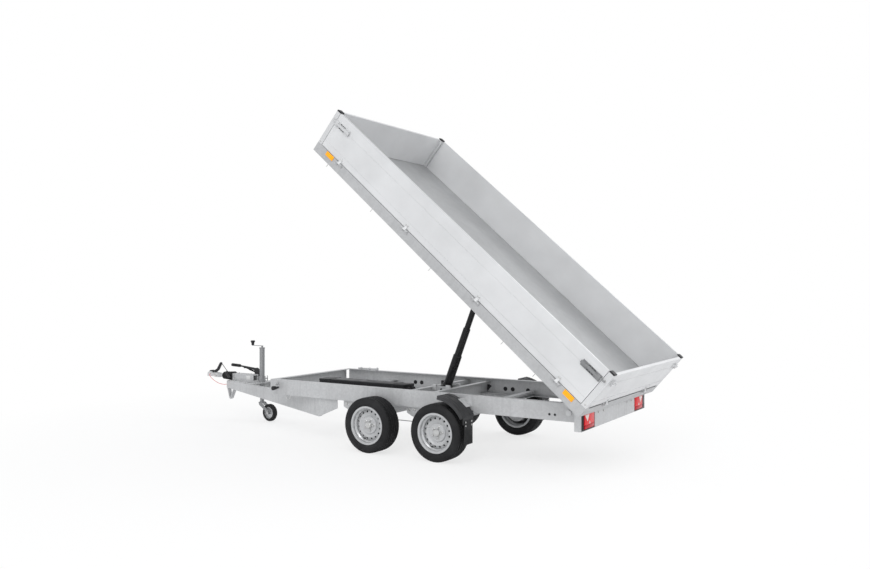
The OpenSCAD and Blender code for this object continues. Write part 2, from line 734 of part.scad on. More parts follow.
// Rear sockets turn on the chassis pins, front ones drop over them
module pivot_brackets() {
    both_sides() {
        difference() {
            along_y(-pivot_y - 8, -pivot_y + 8) union() {
                circle(r = pivot_r + 12);
                translate([-pivot_r - 12, 0]) square([2 * pivot_r + 24, bz(0) + rail_t]);
            }
            rod_y(0, 0, -pivot_y - 9, -pivot_y + 9, pivot_r);
        }
        translate([bed_lock_x - pivot_x, 0, 0]) difference() {
            along_y(-pivot_y - 8, -pivot_y + 8)
                translate([-pivot_r - 12, -pivot_r]) square([2 * pivot_r + 24, bz(0) + rail_t + pivot_r]);
            rod_y(0, 0, -pivot_y - 9, -pivot_y + 9, pivot_r - 2);
            translate([-pivot_r + 2, -pivot_y - 9, -pivot_r - 1]) cube([2 * pivot_r - 4, 18, pivot_r + 1]);
        }
        // Bearers join both brackets to the frame
        for (x = [0, bed_lock_x - pivot_x])
            translate([x - pivot_r - 12, -bed_half + rail_t, bz(0)])
                cube([2 * pivot_r + 24, bed_half - long_y, 6]);
    }
}
module head_lugs() {
    lug_h = rail_h - head_h - rail_t;
    block = eye_r + 12;
    for (y = [-36, 24]) along_y(y, y + 12) translate([head_x, head_z]) {
        circle(r = lug_r);
        polygon([[-lug_r + 2, 0], [lug_r - 2, 0], [block + 6, 24], [block + 6, lug_h], [-block - 6, lug_h],
            [-block - 6, 24]]);
    }
    rod_y(head_x, head_z, -37, 37, head_pin_r);
    for (x = [-1, 1]) translate([head_x + x * (block + 20) - 20, -80, bz(rail_h - 60)]) cube([40, 160, 57]);
}

// Hinge sections are drawn as (outwards, height) from the bed's outer face
module hinge_leaf_section() {
    difference() {
        union() {
            translate([hinge_out, hinge_h]) circle(r = knuckle_r);
            polygon([[0, 101], [0, 140], [4, 140], [6, 108], [hinge_out + 4, 95], [hinge_out, hinge_h],
                [6, hinge_h], [2, 95]]);
        }
        translate([hinge_out, hinge_h]) circle(r = pin_r);
    }
}
module hinge_base_section() {
    translate([hinge_out, hinge_h]) circle(r = knuckle_r);
    polygon([[0, 60], [0, 94], [hinge_out, 94], [hinge_out, 80], [4, 60]]);
}
third = hinge_w / 3;
module side_section_at(s0, s1) {
    translate([0, -bed_half, bz(0)]) mirror([0, 1, 0]) along_x(bx(s1), bx(s0)) children();
}
module side_hinge_fixed(s) {
    for (k = [-1, 1]) side_section_at(s + k * third - third / 2, s + k * third + third / 2 - 0.5)
        hinge_base_section();
    side_section_at(s - hinge_w / 2, s + hinge_w / 2 - 0.5)
        translate([hinge_out, hinge_h]) circle(r = pin_r - run_gap);
}
module side_hinge_moving(s) {
    side_section_at(s - third / 2 + 0.5, s + third / 2 - 1) hinge_leaf_section();
}
module tail_section_at(y0, y1) { translate([bx(0), 0, bz(0)]) along_y(y0, y1) children(); }
module tail_hinge_fixed(y) {
    for (k = [-1, 1]) tail_section_at(y + k * third - third / 2, y + k * third + third / 2 - 0.5)
        hinge_base_section();
    tail_section_at(y - hinge_w / 2, y + hinge_w / 2 - 0.5)
        translate([hinge_out, hinge_h]) circle(r = pin_r - run_gap);
}
module tail_hinge_moving(y) {
    tail_section_at(y - third / 2 + 0.5, y + third / 2 - 1) hinge_leaf_section();
}

module bed_floor() {
    inset = board_t + panel_gap;
    color("darkgray") bed() difference() {
        bed_at(bed_length - inset, rail_h) translate([0, -bed_half + inset, 0])
            cube([bed_length - 2 * inset, bed_width - 2 * inset, floor_t]);
        // The corner posts stand in the floor's corners
        both_sides() for (s = [0, bed_length - post_l])
            translate([bx(s + post_l) - 1, -bed_half - 1, bz(rail_h) - 1])
                cube([post_l + 2, post_w + 2, floor_t + 2]);
    }
}

// The section of one board as (outwards, height), its outer face at 0, with two shallow grooves
module board_section() {
    h0 = rail_h + panel_gap;
    difference() {
        translate([-board_t, h0]) square([board_t, board_h - panel_gap]);
        for (h = [58, 252]) translate([-2, h0 + h]) square([3, 4]);
    }
}
module corner_posts() {
    color("silver") bed() both_sides() for (s = [0, bed_length - post_l])
        translate([bx(s + post_l), -bed_half, bz(rail_h)]) difference() {
            cube([post_l, post_w, post_top - rail_h - 4]);
            translate([3, 3, -1]) cube([post_l - 6, post_w - 6, post_top]);
        }
}
module post_caps() {
    color("black") bed() both_sides() for (s = [0, bed_length - post_l])
        translate([bx(s + post_l), -bed_half, bz(post_top - 4)]) {
            cube([post_l, post_w, 8]);
            translate([3.5, 3.5, -12]) cube([post_l - 7, post_w - 7, 14]);
        }
}
module headboard() {
    color("gainsboro") bed() bed_at(bed_length, 0)
        along_y(-bed_half + post_w + 0.5, bed_half - post_w - 0.5) mirror([1, 0]) board_section();
}
module reflectors() {
    color("orange") bed() both_sides() for (s = [120, bed_length - 262])
        translate([bx(s + 105), -bed_half - 6, bz(52)]) cube([105, 6, 42]);
}
module latch(s0, s1) {
    // Base plate, lever and hook over the corner post
    h = rail_h + board_h - 125;
    side_section_at(s0, s1) translate([0, h]) square([6, 61]);
    side_section_at(s0 + 12, s1 - 12) translate([5, h + 24]) square([12, 16]);
}
module side_board(side) {
    color("gainsboro") bed() on_side(side) {
        side_section_at(post_l + panel_gap, bed_length - post_l - panel_gap) board_section();
        for (s = side_hinges) side_hinge_moving(s);
        latch(post_l + 6, 270);
        latch(bed_length - 262, bed_length - post_l - 6);
    }
}
module tailboard() {
    w = bed_half - post_w - panel_gap;
    color("gainsboro") bed() {
        tail_section_at(-w, w) board_section();
        for (y = tail_hinges) tail_hinge_moving(y);
        for (y = [-w + 8, w - 98]) tail_section_at(y, y + 90)
            translate([0, rail_h + board_h - 100]) square([16, 30]);
    }
}

side_beam(-1);  // side_beam_left
side_beam(1);  // side_beam_right
front_crossbeam();
cradle_members();
rear_lamp_panel();
drawbar_plate(-1);  // drawbar_left
drawbar_plate(1);  // drawbar_right
drawbar_head();
overrun_housing();
coupling_head();
coupling_handle();
gaiter();
handbrake_lever();
breakaway_cable();
jockey_tube();
jockey_leg();
jockey_fork();
jockey_rim();
jockey_tyre();
axle(axles[0]);  // axle_front
axle(axles[1]);  // axle_rear
axle_brackets();
tyre(axles[0], -1);  // tyre_front_left
tyre(axles[0], 1);  // tyre_front_right
tyre(axles[1], -1);  // tyre_rear_left
tyre(axles[1], 1);  // tyre_rear_right
rim(axles[0], -1);  // rim_front_left
rim(axles[0], 1);  // rim_front_right
rim(axles[1], -1);  // rim_rear_left
rim(axles[1], 1);  // rim_rear_right
mudguard(-1);  // mudguard_left
mudguard(1);  // mudguard_right
mudflap(-1);  // mudflap_left
mudflap(1);  // mudflap_right
pump_box();
lamp(-1);  // lamp_left
lamp(1);  // lamp_right
brake_rods();
lock_pin(-1);  // lock_pin_left
lock_pin(1);  // lock_pin_right
cylinder_barrel();
cylinder_stage(1);  // cylinder_stage_1
cylinder_stage(2);  // cylinder_stage_2
cylinder_stage(3);  // cylinder_stage_3
cylinder_rod();
bed_frame();
bed_floor();
headboard();
corner_posts();
post_caps();
reflectors();
side_board(-1);  // side_board_left
side_board(1);  // side_board_right
tailboard();
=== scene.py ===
"""The looks of a tandem-axle tipping trailer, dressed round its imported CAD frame.

Everything is in metres in the trailer's own frame: +X towards the tailboard, +Y the
trailer's right, +Z up, with the ground at z = 0. Places along the chassis are given from
the middle between the axles, and places on the bed as (distance from its rear end,
sideways, height over the underside of its rail) with the bed drawn level.
"""

from __future__ import annotations

import json
import logging
import math
from dataclasses import dataclass
from enum import Enum
from typing import Iterable, Sequence

import bpy
from mathutils import Matrix, Vector

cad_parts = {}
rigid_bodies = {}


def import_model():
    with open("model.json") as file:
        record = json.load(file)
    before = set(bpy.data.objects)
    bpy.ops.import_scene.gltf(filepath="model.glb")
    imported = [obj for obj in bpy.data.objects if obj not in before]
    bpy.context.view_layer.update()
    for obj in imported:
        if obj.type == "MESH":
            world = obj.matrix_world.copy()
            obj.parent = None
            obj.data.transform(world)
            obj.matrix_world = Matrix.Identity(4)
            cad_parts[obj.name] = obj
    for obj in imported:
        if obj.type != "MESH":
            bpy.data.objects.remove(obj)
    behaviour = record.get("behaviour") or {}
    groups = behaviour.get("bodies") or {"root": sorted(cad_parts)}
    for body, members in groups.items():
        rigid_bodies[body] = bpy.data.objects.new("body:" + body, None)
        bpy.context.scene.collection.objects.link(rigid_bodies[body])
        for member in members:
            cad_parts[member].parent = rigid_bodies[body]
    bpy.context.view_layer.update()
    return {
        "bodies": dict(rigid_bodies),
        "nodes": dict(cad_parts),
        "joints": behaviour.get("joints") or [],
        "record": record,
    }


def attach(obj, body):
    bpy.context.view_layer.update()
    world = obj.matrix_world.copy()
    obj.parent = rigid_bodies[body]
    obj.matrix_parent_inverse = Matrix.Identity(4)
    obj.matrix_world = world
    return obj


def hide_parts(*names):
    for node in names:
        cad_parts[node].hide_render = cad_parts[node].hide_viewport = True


LOG = logging.getLogger("trailer")
HERE = Matrix.Identity(4)
Colour = tuple[float, float, float]
Point = tuple[float, float, float]
Rings = Sequence[tuple[float, float]]
Outline = Sequence[tuple[float, float]]


class Way(Enum):
    """The direction in which a metal's grain or streaks run."""

    ALONG_BED = "along the tilted bed"
    LEVEL = "along the chassis"


class Facing(Enum):
    """Which way a piece's own Z axis points once it is in place."""

    UP = (0.0, "X")
    DOWN = (180.0, "X")
    LEFT = (90.0, "X")
    RIGHT = (-90.0, "X")
    REAR = (90.0, "Y")
    FRONT = (-90.0, "Y")

    @property
    def turn(self) -> Matrix:
        """The turn that points local Z this way."""
        angle, axis = self.value
        return Matrix.Rotation(math.radians(angle), 4, axis)


SIDES = (("left", -1, Facing.LEFT), ("right", 1, Facing.RIGHT))


def shift(x: float = 0.0, y: float = 0.0, z: float = 0.0) -> Matrix:
    """Returns a plain shift."""
    return Matrix.Translation((x, y, z))


@dataclass(frozen=True)
class Layout:
    """The trailer's main places.

    Attributes:
        mid: The middle between the axles, from the frame's origin.
        web_y: The outer face of the side beams.
        beam_low: The underside of the side beams.
        beam_top: The top of the side beams.
        wheel_y: The middle of the tyres.
        wheel_z: The height of the axles' spindles.
        axle_gap: The distance between the axles.
        pivot_x: The bed's pivot.
        pivot_z: The height of the bed's pivot.
        tilt: The raised bed's tilt in radians.
        bed_over: The distance from the pivot back to the bed's rear end.
        bed_rise: The distance from the pivot up to the underside of the bed's rail.
        bed_length: The bed's length over its corner posts.
        bed_half: Half the bed's width.
        hinges: The side boards' hinges from the bed's rear end.
        lean: The raised cylinder's lean in radians.
        cradle: The cylinder's trunnion as (x, z).
    """

    mid: float = 0.70155
    web_y: float = 0.67
    beam_low: float = 0.44
    beam_top: float = 0.595
    wheel_y: float = 0.8
    wheel_z: float = 0.2625
    axle_gap: float = 0.762
    pivot_x: float = 1.645
    pivot_z: float = 0.56
    tilt: float = math.radians(40.8)
    bed_over: float = 0.116
    bed_rise: float = 0.063
    bed_length: float = 3.642
    bed_half: float = 0.9435
    hinges: tuple[float, ...] = (0.3230, 1.3119, 2.2901, 3.2902)
    lean: float = math.radians(21.538)
    cradle: tuple[float, float] = (-0.040, 0.540)

    def at(self, x: float, y: float, z: float, facing: Facing = Facing.UP) -> Matrix:
        """Puts a piece on the chassis.

        Args:
            x: Place along the trailer from the middle between the axles.
            y: Place across the trailer.
            z: Height over the ground.
            facing: Which way its own Z axis points.

        Returns:
            The piece's placement.
        """
        return shift(x + self.mid, y, z) @ facing.turn

    def bed_at(self, s: float, y: float, h: float, facing: Facing = Facing.UP) -> Matrix:
        """Puts a piece on the tilted bed.

        Args:
            s: Distance forward from the bed's rear end.
            y: Place across the bed.
            h: Height over the underside of the bed's rail.
            facing: Which way its own Z axis points while the bed is level.

        Returns:
            The piece's placement.
        """
        pivot = shift(self.pivot_x + self.mid, 0, self.pivot_z)
        level = shift(self.bed_over - s, y, self.bed_rise + h)
        return pivot @ Matrix.Rotation(self.tilt, 4, "Y") @ level @ facing.turn

    def wheel(self, x: float, side: int) -> Matrix:
        """Gives a wheel's frame, with local Z along its axle and outwards."""
        facing = Facing.LEFT if side < 0 else Facing.RIGHT
        return self.at(x, side * self.wheel_y, self.wheel_z, facing)

    def cylinder(self, up: float) -> Matrix:
        """Gives a frame on the leaning cylinder's axis, at a distance up from its trunnion."""
        foot = shift(self.cradle[0] + self.mid, 0, self.cradle[1])
        return foot @ Matrix.Rotation(self.lean, 4, "Y") @ shift(z=up)

    def route(self, points: Iterable[Point]) -> list[Point]:
        """Shifts points given from the middle between the axles into the frame."""
        return [(x + self.mid, y, z) for x, y, z in points]


class Graph:
    """A material's node tree while it is being put together."""

    def __init__(self, name: str) -> None:
        """Starts a material with a bare Principled shader.

        Args:
            name: The material's name.
        """
        self.material = bpy.data.materials.new(name)
        self.material.use_nodes = True
        self.tree = self.material.node_tree
        self.shader = self.tree.nodes["Principled BSDF"]
        self.place = self.add("ShaderNodeTexCoord").outputs["Object"]

    def add(self, kind: str) -> bpy.types.Node:
        """Adds a node of the given kind and returns it."""
        return self.tree.nodes.new(kind)

    def link(self, source: object, target: bpy.types.NodeSocket) -> None:
        """Sets a socket from another socket or from a plain value.

        Args:
            source: An output socket, a number or a colour.
            target: The input socket that takes it.
        """
        if isinstance(source, bpy.types.NodeSocket):
            self.tree.links.new(source, target)
        elif isinstance(source, tuple) and len(source) == 3 and target.type == "RGBA":
            target.default_value = (*source, 1.0)
        else:
            target.default_value = source

    def mapped(self, scale: Point = (1, 1, 1), turn: Point = (0, 0, 0)) -> bpy.types.NodeSocket:
        """Gives the object's coordinates, turned and then stretched.

        Args:
            scale: The factor along each axis after the turn.
            turn: The turn about each axis in radians.

        Returns:
            The mapped vector's socket.
        """
        turned = self.add("ShaderNodeMapping")
        self.link(self.place, turned.inputs["Vector"])
        turned.inputs["Rotation"].default_value = turn
        stretched = self.add("ShaderNodeMapping")
        self.link(turned.outputs[0], stretched.inputs["Vector"])
        stretched.inputs["Scale"].default_value = scale
        return stretched.outputs[0]

    def noise(self, vector: object, scale: float, detail: float = 3.0) -> bpy.types.NodeSocket:
        """Adds a noise texture and returns its factor."""
        node = self.add("ShaderNodeTexNoise")
        self.link(vector, node.inputs["Vector"])
        node.inputs["Scale"].default_value = scale
        node.inputs["Detail"].default_value = detail
        return node.outputs["Fac"]

    def cells(self, vector: object, scale: float) -> bpy.types.NodeSocket:
        """Adds Voronoi cells of random shade and returns one channel of their colour."""
        node = self.add("ShaderNodeTexVoronoi")
        self.link(vector, node.inputs["Vector"])
        node.inputs["Scale"].default_value = scale
        split = self.add("ShaderNodeSeparateColor")
        self.link(node.outputs["Color"], split.inputs[0])
        return split.outputs[0]

    def ramp(
        self, factor: object, low: float, high: float, start: float, end: float
    ) -> bpy.types.NodeSocket:
        """Maps a factor's range onto another range, clamped.

        Args:
            factor: The socket to read.
            low: The value at and below start.
            high: The value at and above end.
            start: Where the change begins.
            end: Where the change ends.

        Returns:
            The mapped value's socket.
        """
        node = self.add("ShaderNodeMapRange")
        span = (("From Min", start), ("From Max", end), ("To Min", low), ("To Max", high))
        for name, value in span:
            node.inputs[name].default_value = value
        self.link(factor, node.inputs["Value"])
        return node.outputs["Result"]

    def maths(self, operation: str, first: object, second: object = 0.0) -> bpy.types.NodeSocket:
        """Adds a Math node and returns its value."""
        node = self.add("ShaderNodeMath")
        node.operation = operation
        self.link(first, node.inputs[0])
        self.link(second, node.inputs[1])
        return node.outputs[0]

    def blend(self, factor: object, first: object, second: object) -> bpy.types.NodeSocket:
        """Mixes two colours by a factor and returns the result's socket."""
        node = self.add("ShaderNodeMix")
        node.data_type = "RGBA"
        self.link(factor, node.inputs["Factor"])
        self.link(first, node.inputs[6])
        self.link(second, node.inputs[7])
        return node.outputs[2]

    def bump(self, height: object, strength: float, depth: float) -> None:
        """Sends a height, in units of the given depth, to the shader's normal."""
        node = self.add("ShaderNodeBump")
        node.inputs["Strength"].default_value = strength
        node.inputs["Distance"].default_value = depth
        self.link(height, node.inputs["Height"])
        self.link(node.outputs[0], self.shader.inputs["Normal"])

    def shade(self, **values: object) -> bpy.types.Material:
        """Sets shader sockets, with underscores for blanks, and returns the material."""
        for name, value in values.items():
            self.link(value, self.shader.inputs[name.replace("_", " ")])
        return self.material


def shaded(colour: Colour, factor: float) -> Colour:
    """Returns a colour made lighter or darker by a factor."""
    return tuple(min(1.0, channel * factor) for channel in colour)


@dataclass(frozen=True)
class Metal:
    """A metal surface with blotches, fine grain and worn roughness.

    Attributes:
        name: The material's name.
        colour: The mean colour.
        metallic: How much it reflects as bare metal.
        roughness: The mean roughness.
        spangle: How far the zinc's crystals differ in shade.
        streaks: How dark the run marks are.
        grain: How deep the drawn lines are, from 0 to 1.
        way: Which way the lines run.
    """

    name: str
    colour: Colour
    metallic: float = 0.6
    roughness: float = 0.4
    spangle: float = 0.0
    streaks: float = 0.0
    grain: float = 0.0
    way: Way = Way.LEVEL

    def build(self, tilt: float) -> bpy.types.Material:
        """Builds the material.

        Args:
            tilt: The bed's tilt in radians, which turns patterns along the bed.

        Returns:
            The finished material.
        """
        graph = Graph(self.name)
        turn = (0.0, -tilt, 0.0) if self.way is Way.ALONG_BED else (0.0, 0.0, 0.0)
        plain = graph.mapped(turn=turn)
        cloudy = graph.ramp(graph.noise(plain, 2.6, 4.0), 0.0, 1.0, 0.35, 0.65)
        colour = graph.blend(cloudy, shaded(self.colour, 0.94), shaded(self.colour, 1.04))
        rough = graph.ramp(
            graph.noise(plain, 9.0, 3.0), self.roughness - 0.07, self.roughness + 0.08, 0.3, 0.7
        )
        height = graph.noise(plain, 55.0, 2.0)
        if self.spangle:
            crystals = graph.cells(plain, 62.0)
            shade = graph.ramp(crystals, 0.0, self.spangle, 0.0, 1.0)
            colour = graph.blend(shade, colour, shaded(self.colour, 0.72))
            height = graph.maths("ADD", height, graph.maths("MULTIPLY", crystals, 0.35))
        if self.streaks:
            runs = graph.noise(graph.mapped(scale=(9.0, 9.0, 1.1), turn=turn), 3.0, 5.0)
            mark = graph.ramp(runs, 0.0, self.streaks, 0.5, 0.72)
            colour = graph.blend(mark, colour, shaded(self.colour, 0.62))
        if self.grain:
            lines = graph.noise(graph.mapped(scale=(0.4, 60.0, 60.0), turn=turn), 9.0, 2.0)
            worn = graph.ramp(lines, -0.06 * self.grain, 0.06 * self.grain, 0.3, 0.7)
            rough = graph.maths("ADD", rough, worn)
            height = graph.maths("ADD", height, graph.maths("MULTIPLY", lines, self.grain))
        graph.bump(height, 0.12, 0.0012)
        return graph.shade(Base_Color=colour, Roughness=rough, Metallic=self.metallic)


@dataclass(frozen=True)
class Plastic:
    """A moulded plastic, rubber or painted surface with a fine grain and dust.

    Attributes:
        name: The material's name.
        colour: The mean colour.
        roughness: The mean roughness.
        grain_size: The number of grains to a metre.
        grain_depth: How deep the grain is, in metres.
        dust: How much pale dust lies in patches.
        metallic: How much it reflects as metal.
    """

    name: str
    colour: Colour
    roughness: float = 0.5
    grain_size: float = 900.0
    grain_depth: float = 0.0003
    dust: float = 0.15
    metallic: float = 0.0

    def build(self, tilt: float) -> bpy.types.Material:
        """Builds the material. The tilt isn't used, since the grain has no direction."""
        graph = Graph(self.name)
        patches = graph.ramp(graph.noise(graph.place, 6.0, 5.0), 0.0, self.dust, 0.45, 0.75)
        pale = tuple(0.5 * channel + 0.2 for channel in self.colour)
        colour = graph.blend(patches, self.colour, pale)
        worn = graph.noise(graph.place, 14.0, 3.0)
        rough = graph.ramp(worn, self.roughness - 0.08, self.roughness + 0.1, 0.3, 0.7)
        graph.bump(graph.noise(graph.place, self.grain_size, 2.0), 0.35, self.grain_depth)
        return graph.shade(
            Base_Color=colour, Roughness=rough, Metallic=self.metallic, Specular_IOR_Level=0.28
        )


@dataclass(frozen=True)
class Lens:
    """A clear coloured lens over a field of small prisms, with painted glints on the prisms and a painted glow.

    Attributes:
        name: The material's name.
        colour: The lens's colour.
        pitch: The number of prisms to a metre.
        glow: How strongly the lens shines by itself, a painted glow standing in for the light that the prisms
            throw back.
        gloss: How strongly the smooth outer face mirrors its surroundings.
    """

    name: str
    colour: Colour
    pitch: float = 260.0
    glow: float = 0.25
    gloss: float = 0.6

    def build(self, tilt: float) -> bpy.types.Material:
        """Builds the material.

        Args:
            tilt: The bed's tilt in radians, which turns the prisms with a lens on the bed.

        Returns:
            The finished material.
        """
        graph = Graph(self.name)
        # Lighter and darker cells are painted glints on the prisms, and the emission below is a painted glow.
        prisms = graph.cells(graph.mapped(turn=(0.0, -tilt, 0.0)), self.pitch)
        bright = graph.ramp(prisms, 0.0, 1.0, 0.2, 0.9)
        colour = graph.blend(bright, shaded(self.colour, 0.8), self.colour)
        graph.bump(prisms, 0.1, 0.0005)
        graph.link(colour, graph.shader.inputs["Emission Color"])
        graph.shader.inputs["Emission Strength"].default_value = self.glow
        graph.shader.inputs["Specular IOR Level"].default_value = 0.2
        return graph.shade(
            Base_Color=colour, Roughness=0.25, Coat_Weight=self.gloss, Coat_Roughness=0.06
        )


Finish = Metal | Plastic | Lens

GALVANISED = Metal(
    "galvanised_steel", (0.58, 0.585, 0.59), 0.25, 0.45, spangle=0.35, streaks=0.3
)
# A darker galvanised tone for the jockey wheel's tube, leg and fork.
DARK_GALVANISED = Metal(
    "dark_galvanised_tube", (0.36, 0.365, 0.37), 0.6, 0.34, spangle=0.3, streaks=0.4
)
BED_RAIL = Metal(
    "galvanised_bed_rail", (0.52, 0.525, 0.53), 0.3, 0.46, spangle=0.3, streaks=0.2,
    way=Way.ALONG_BED,
)
BOARD = Metal(
    "satin_aluminium_board", (0.70, 0.705, 0.71), 0.15, 0.45, grain=0.35, way=Way.ALONG_BED
)
FLOOR = Metal("bed_floor_sheet", (0.42, 0.425, 0.43), 0.3, 0.42, spangle=0.15, way=Way.ALONG_BED)
POST = Metal("anodised_post", (0.66, 0.665, 0.67), 0.25, 0.38, grain=0.3, way=Way.ALONG_BED)
ZINC = Metal("zinc_plated_casting", (0.66, 0.665, 0.67), 0.35, 0.38, spangle=0.1)
# A darker copy of the latch zinc: its dark colour is painted shade, while its spangle and streaks are the zinc's
# own marks.
SHADED_ZINC = Metal("shaded_zinc_latch", (0.30, 0.305, 0.31), 0.4, 0.42, spangle=0.6, streaks=0.3)
BRIGHT = Metal("bright_fastener", (0.62, 0.62, 0.61), 0.7, 0.28)
DARK_STEEL = Metal("dark_steel", (0.035, 0.035, 0.037), 0.4, 0.5)
RIM_SILVER = Metal("rim_silver_paint", (0.56, 0.565, 0.57), 0.5, 0.32)
RUBBER = Plastic("tyre_rubber", (0.012, 0.012, 0.013), 0.62, 1400.0, 0.0002, 0.06)
SOFT_RUBBER = Plastic("moulded_rubber", (0.018, 0.018, 0.019), 0.55, 900.0, 0.0002, 0.08)
BLACK_PLASTIC = Plastic("black_plastic", (0.022, 0.022, 0.024), 0.42, 1100.0, 0.0002, 0.06)
GUARD_PLASTIC = Plastic("mudguard_plastic", (0.040, 0.040, 0.042), 0.5, 700.0, 0.0003, 0.10)
BLACK_PAINT = Plastic("cylinder_black_paint", (0.014, 0.014, 0.015), 0.24, 260.0, 0.0001, 0.05, 0.2)
CABLE_RED = Plastic("cable_red", (0.72, 0.05, 0.04), 0.4, 600.0, 0.0001, 0.05)
WHITE_PLASTIC = Plastic("white_plastic", (0.75, 0.75, 0.74), 0.4, 700.0, 0.0001, 0.05)
# The glow of each lens is painted light: the lamps and reflectors shine by themselves though none is lit.
AMBER = Lens("amber_reflector", (1.0, 0.42, 0.0))
RED = Lens("red_lamp_lens", (0.60, 0.008, 0.014), 140.0, 0.3, 0.08)
DEEP_RED = Lens("deep_red_lamp_lens", (0.42, 0.0, 0.008), 200.0, 0.25, 0.08)
CLEAR = Lens("clear_lamp_lens", (0.80, 0.70, 0.66), 140.0, 0.05, 0.25)


class Paintbox:
    """Keeps each finish's material, built once."""

    def __init__(self, tilt: float) -> None:
        """Starts with no materials.

        Args:
            tilt: The bed's tilt in radians.
        """
        self.tilt = tilt
        self.made: dict[str, bpy.types.Material] = {}

    def get(self, finish: Finish) -> bpy.types.Material:
        """Returns the material of a finish, building it the first time."""
        if finish.name not in self.made:
            self.made[finish.name] = finish.build(self.tilt)
        return self.made[finish.name]

    def dress(self, frame: dict, finish: Finish, *nodes: str) -> None:
        """Gives CAD nodes a finish.

        Args:
            frame: The loaded frame.
            finish: The finish to give.
            nodes: The names of the nodes.
        """
        for name in nodes:
            mesh = frame["nodes"][name].data
            mesh.materials.clear()
            mesh.materials.append(self.get(finish))


@dataclass
class Bench:
    """A modelling bench that shapes Blender's primitives with its own operators."""

    paint: Paintbox

    @staticmethod
    def clear() -> None:
        """Leaves nothing selected."""
        bpy.ops.object.select_all(action="DESELECT")

    @staticmethod
    def open() -> None:
        """Opens the active piece for editing with all of it selected."""
        bpy.ops.object.mode_set(mode="EDIT")
        bpy.ops.mesh.select_all(action="SELECT")

    @staticmethod
    def close() -> None:
        """Merges doubles, points all faces outwards and leaves edit mode."""
        bpy.ops.mesh.select_all(action="SELECT")
        bpy.ops.mesh.remove_doubles(threshold=1e-5)
        bpy.ops.mesh.normals_make_consistent(inside=False)
        bpy.ops.object.mode_set(mode="OBJECT")

    def turned(
        self, rings: Rings, sides: int = 32, hollow: bool = False, place: Matrix = HERE
    ) -> bpy.types.Object:
        """Turns a round piece: a circle extruded and scaled from ring to ring along Z.

        Args:
            rings: The (radius, height) of each ring in turn.
            sides: The number of sides of the circle.
            hollow: Whether the last ring comes back to the first, as on a tyre.
            place: Where the piece goes.

        Returns:
            The piece.
        """
        self.clear()
        fill = "NOTHING" if hollow else "NGON"
        bpy.ops.mesh.primitive_circle_add(vertices=sides, radius=rings[0][0], fill_type=fill)
        piece = bpy.context.object
        self.open()
        bpy.ops.transform.translate(value=(0, 0, rings[0][1]))
        for (before, low), (after, high) in zip(rings, rings[1:]):
            bpy.ops.mesh.extrude_region_move(TRANSFORM_OT_translate={"value": (0, 0, high - low)})
            factor = after / before
            bpy.ops.transform.resize(value=(factor, factor, 1), center_override=(0, 0, high))
        self.close()
        piece.data.transform(place)
        return piece

    def slab(self, outline: Outline, depth: float, place: Matrix = HERE) -> bpy.types.Object:
        """Cuts a plate to an outline and extrudes it to its thickness along Z.

        Args:
            outline: The outline's corners in order.
            depth: The plate's thickness.
            place: Where the piece goes.

        Returns:
            The piece.
        """
        self.clear()
        bpy.ops.mesh.primitive_circle_add(vertices=len(outline), fill_type="NGON")
        piece = bpy.context.object
        for vertex, (across, up) in zip(piece.data.vertices, outline):
            vertex.co = (across, up, 0)
        self.open()
        bpy.ops.mesh.extrude_region_move(TRANSFORM_OT_translate={"value": (0, 0, depth)})
        self.close()
        piece.data.transform(place)
        return piece

    def block(
        self, size: Point, place: Matrix = HERE, round_by: float = 0.0
    ) -> bpy.types.Object:
        """Makes a block centred on its place, with rounded edges.

        Args:
            size: Its length along each of its own axes.
            place: Where the piece goes.
            round_by: The radius of its edges.

        Returns:
            The piece.
        """
        self.clear()
        bpy.ops.mesh.primitive_cube_add(size=1.0)
        piece = bpy.context.object
        self.open()
        bpy.ops.transform.resize(value=size, center_override=(0, 0, 0))
        self.close()
        if round_by:
            self.rounded(piece, round_by)
        piece.data.transform(place)
        return piece

    def wire(
        self, points: Sequence[Point], radius: float, place: Matrix = HERE
    ) -> bpy.types.Object:
        """Draws a round wire or pipe through points.

        Args:
            points: The points that it passes.
            radius: Its radius.
            place: Where the piece goes.

        Returns:
            The piece as a mesh.
        """
        self.clear()
        bpy.ops.curve.primitive_nurbs_path_add()
        curve = bpy.context.object.data
        curve.splines.clear()
        spline = curve.splines.new("NURBS")
        spline.points.add(len(points) - 1)
        for point, spot in zip(spline.points, points):
            point.co = (*spot, 1.0)
        spline.order_u = min(3, len(points))
        spline.use_endpoint_u = True
        curve.dimensions = "3D"
        curve.resolution_u = 4
        curve.bevel_depth = radius
        curve.bevel_resolution = 3
        curve.use_fill_caps = True
        bpy.ops.object.convert(target="MESH")
        piece = bpy.context.object
        self.open()
        self.close()
        piece.data.transform(place)
        return piece

    @staticmethod
    def rounded(piece: bpy.types.Object, width: float, segments: int = 2) -> bpy.types.Object:
        """Rounds a piece's sharp edges with an applied bevel and returns it."""
        bpy.context.view_layer.objects.active = piece
        bevel = piece.modifiers.new("edges", "BEVEL")
        bevel.width = width
        bevel.segments = segments
        bevel.limit_method = "ANGLE"
        bpy.ops.object.modifier_apply(modifier=bevel.name)
        return piece

    def joined(self, *pieces: bpy.types.Object) -> bpy.types.Object:
        """Joins pieces into the first one and returns it."""
        self.clear()
        for piece in pieces:
            piece.select_set(True)
        bpy.context.view_layer.objects.active = pieces[0]
        if len(pieces) > 1:
            bpy.ops.object.join()
        return pieces[0]

    def copy(self, piece: bpy.types.Object, place: Matrix = HERE) -> bpy.types.Object:
        """Copies a piece, mesh and all, and sets the copy in its place."""
        twin = piece.copy()
        twin.data = piece.data.copy()
        twin.data.transform(place)
        bpy.context.scene.collection.objects.link(twin)
        return twin

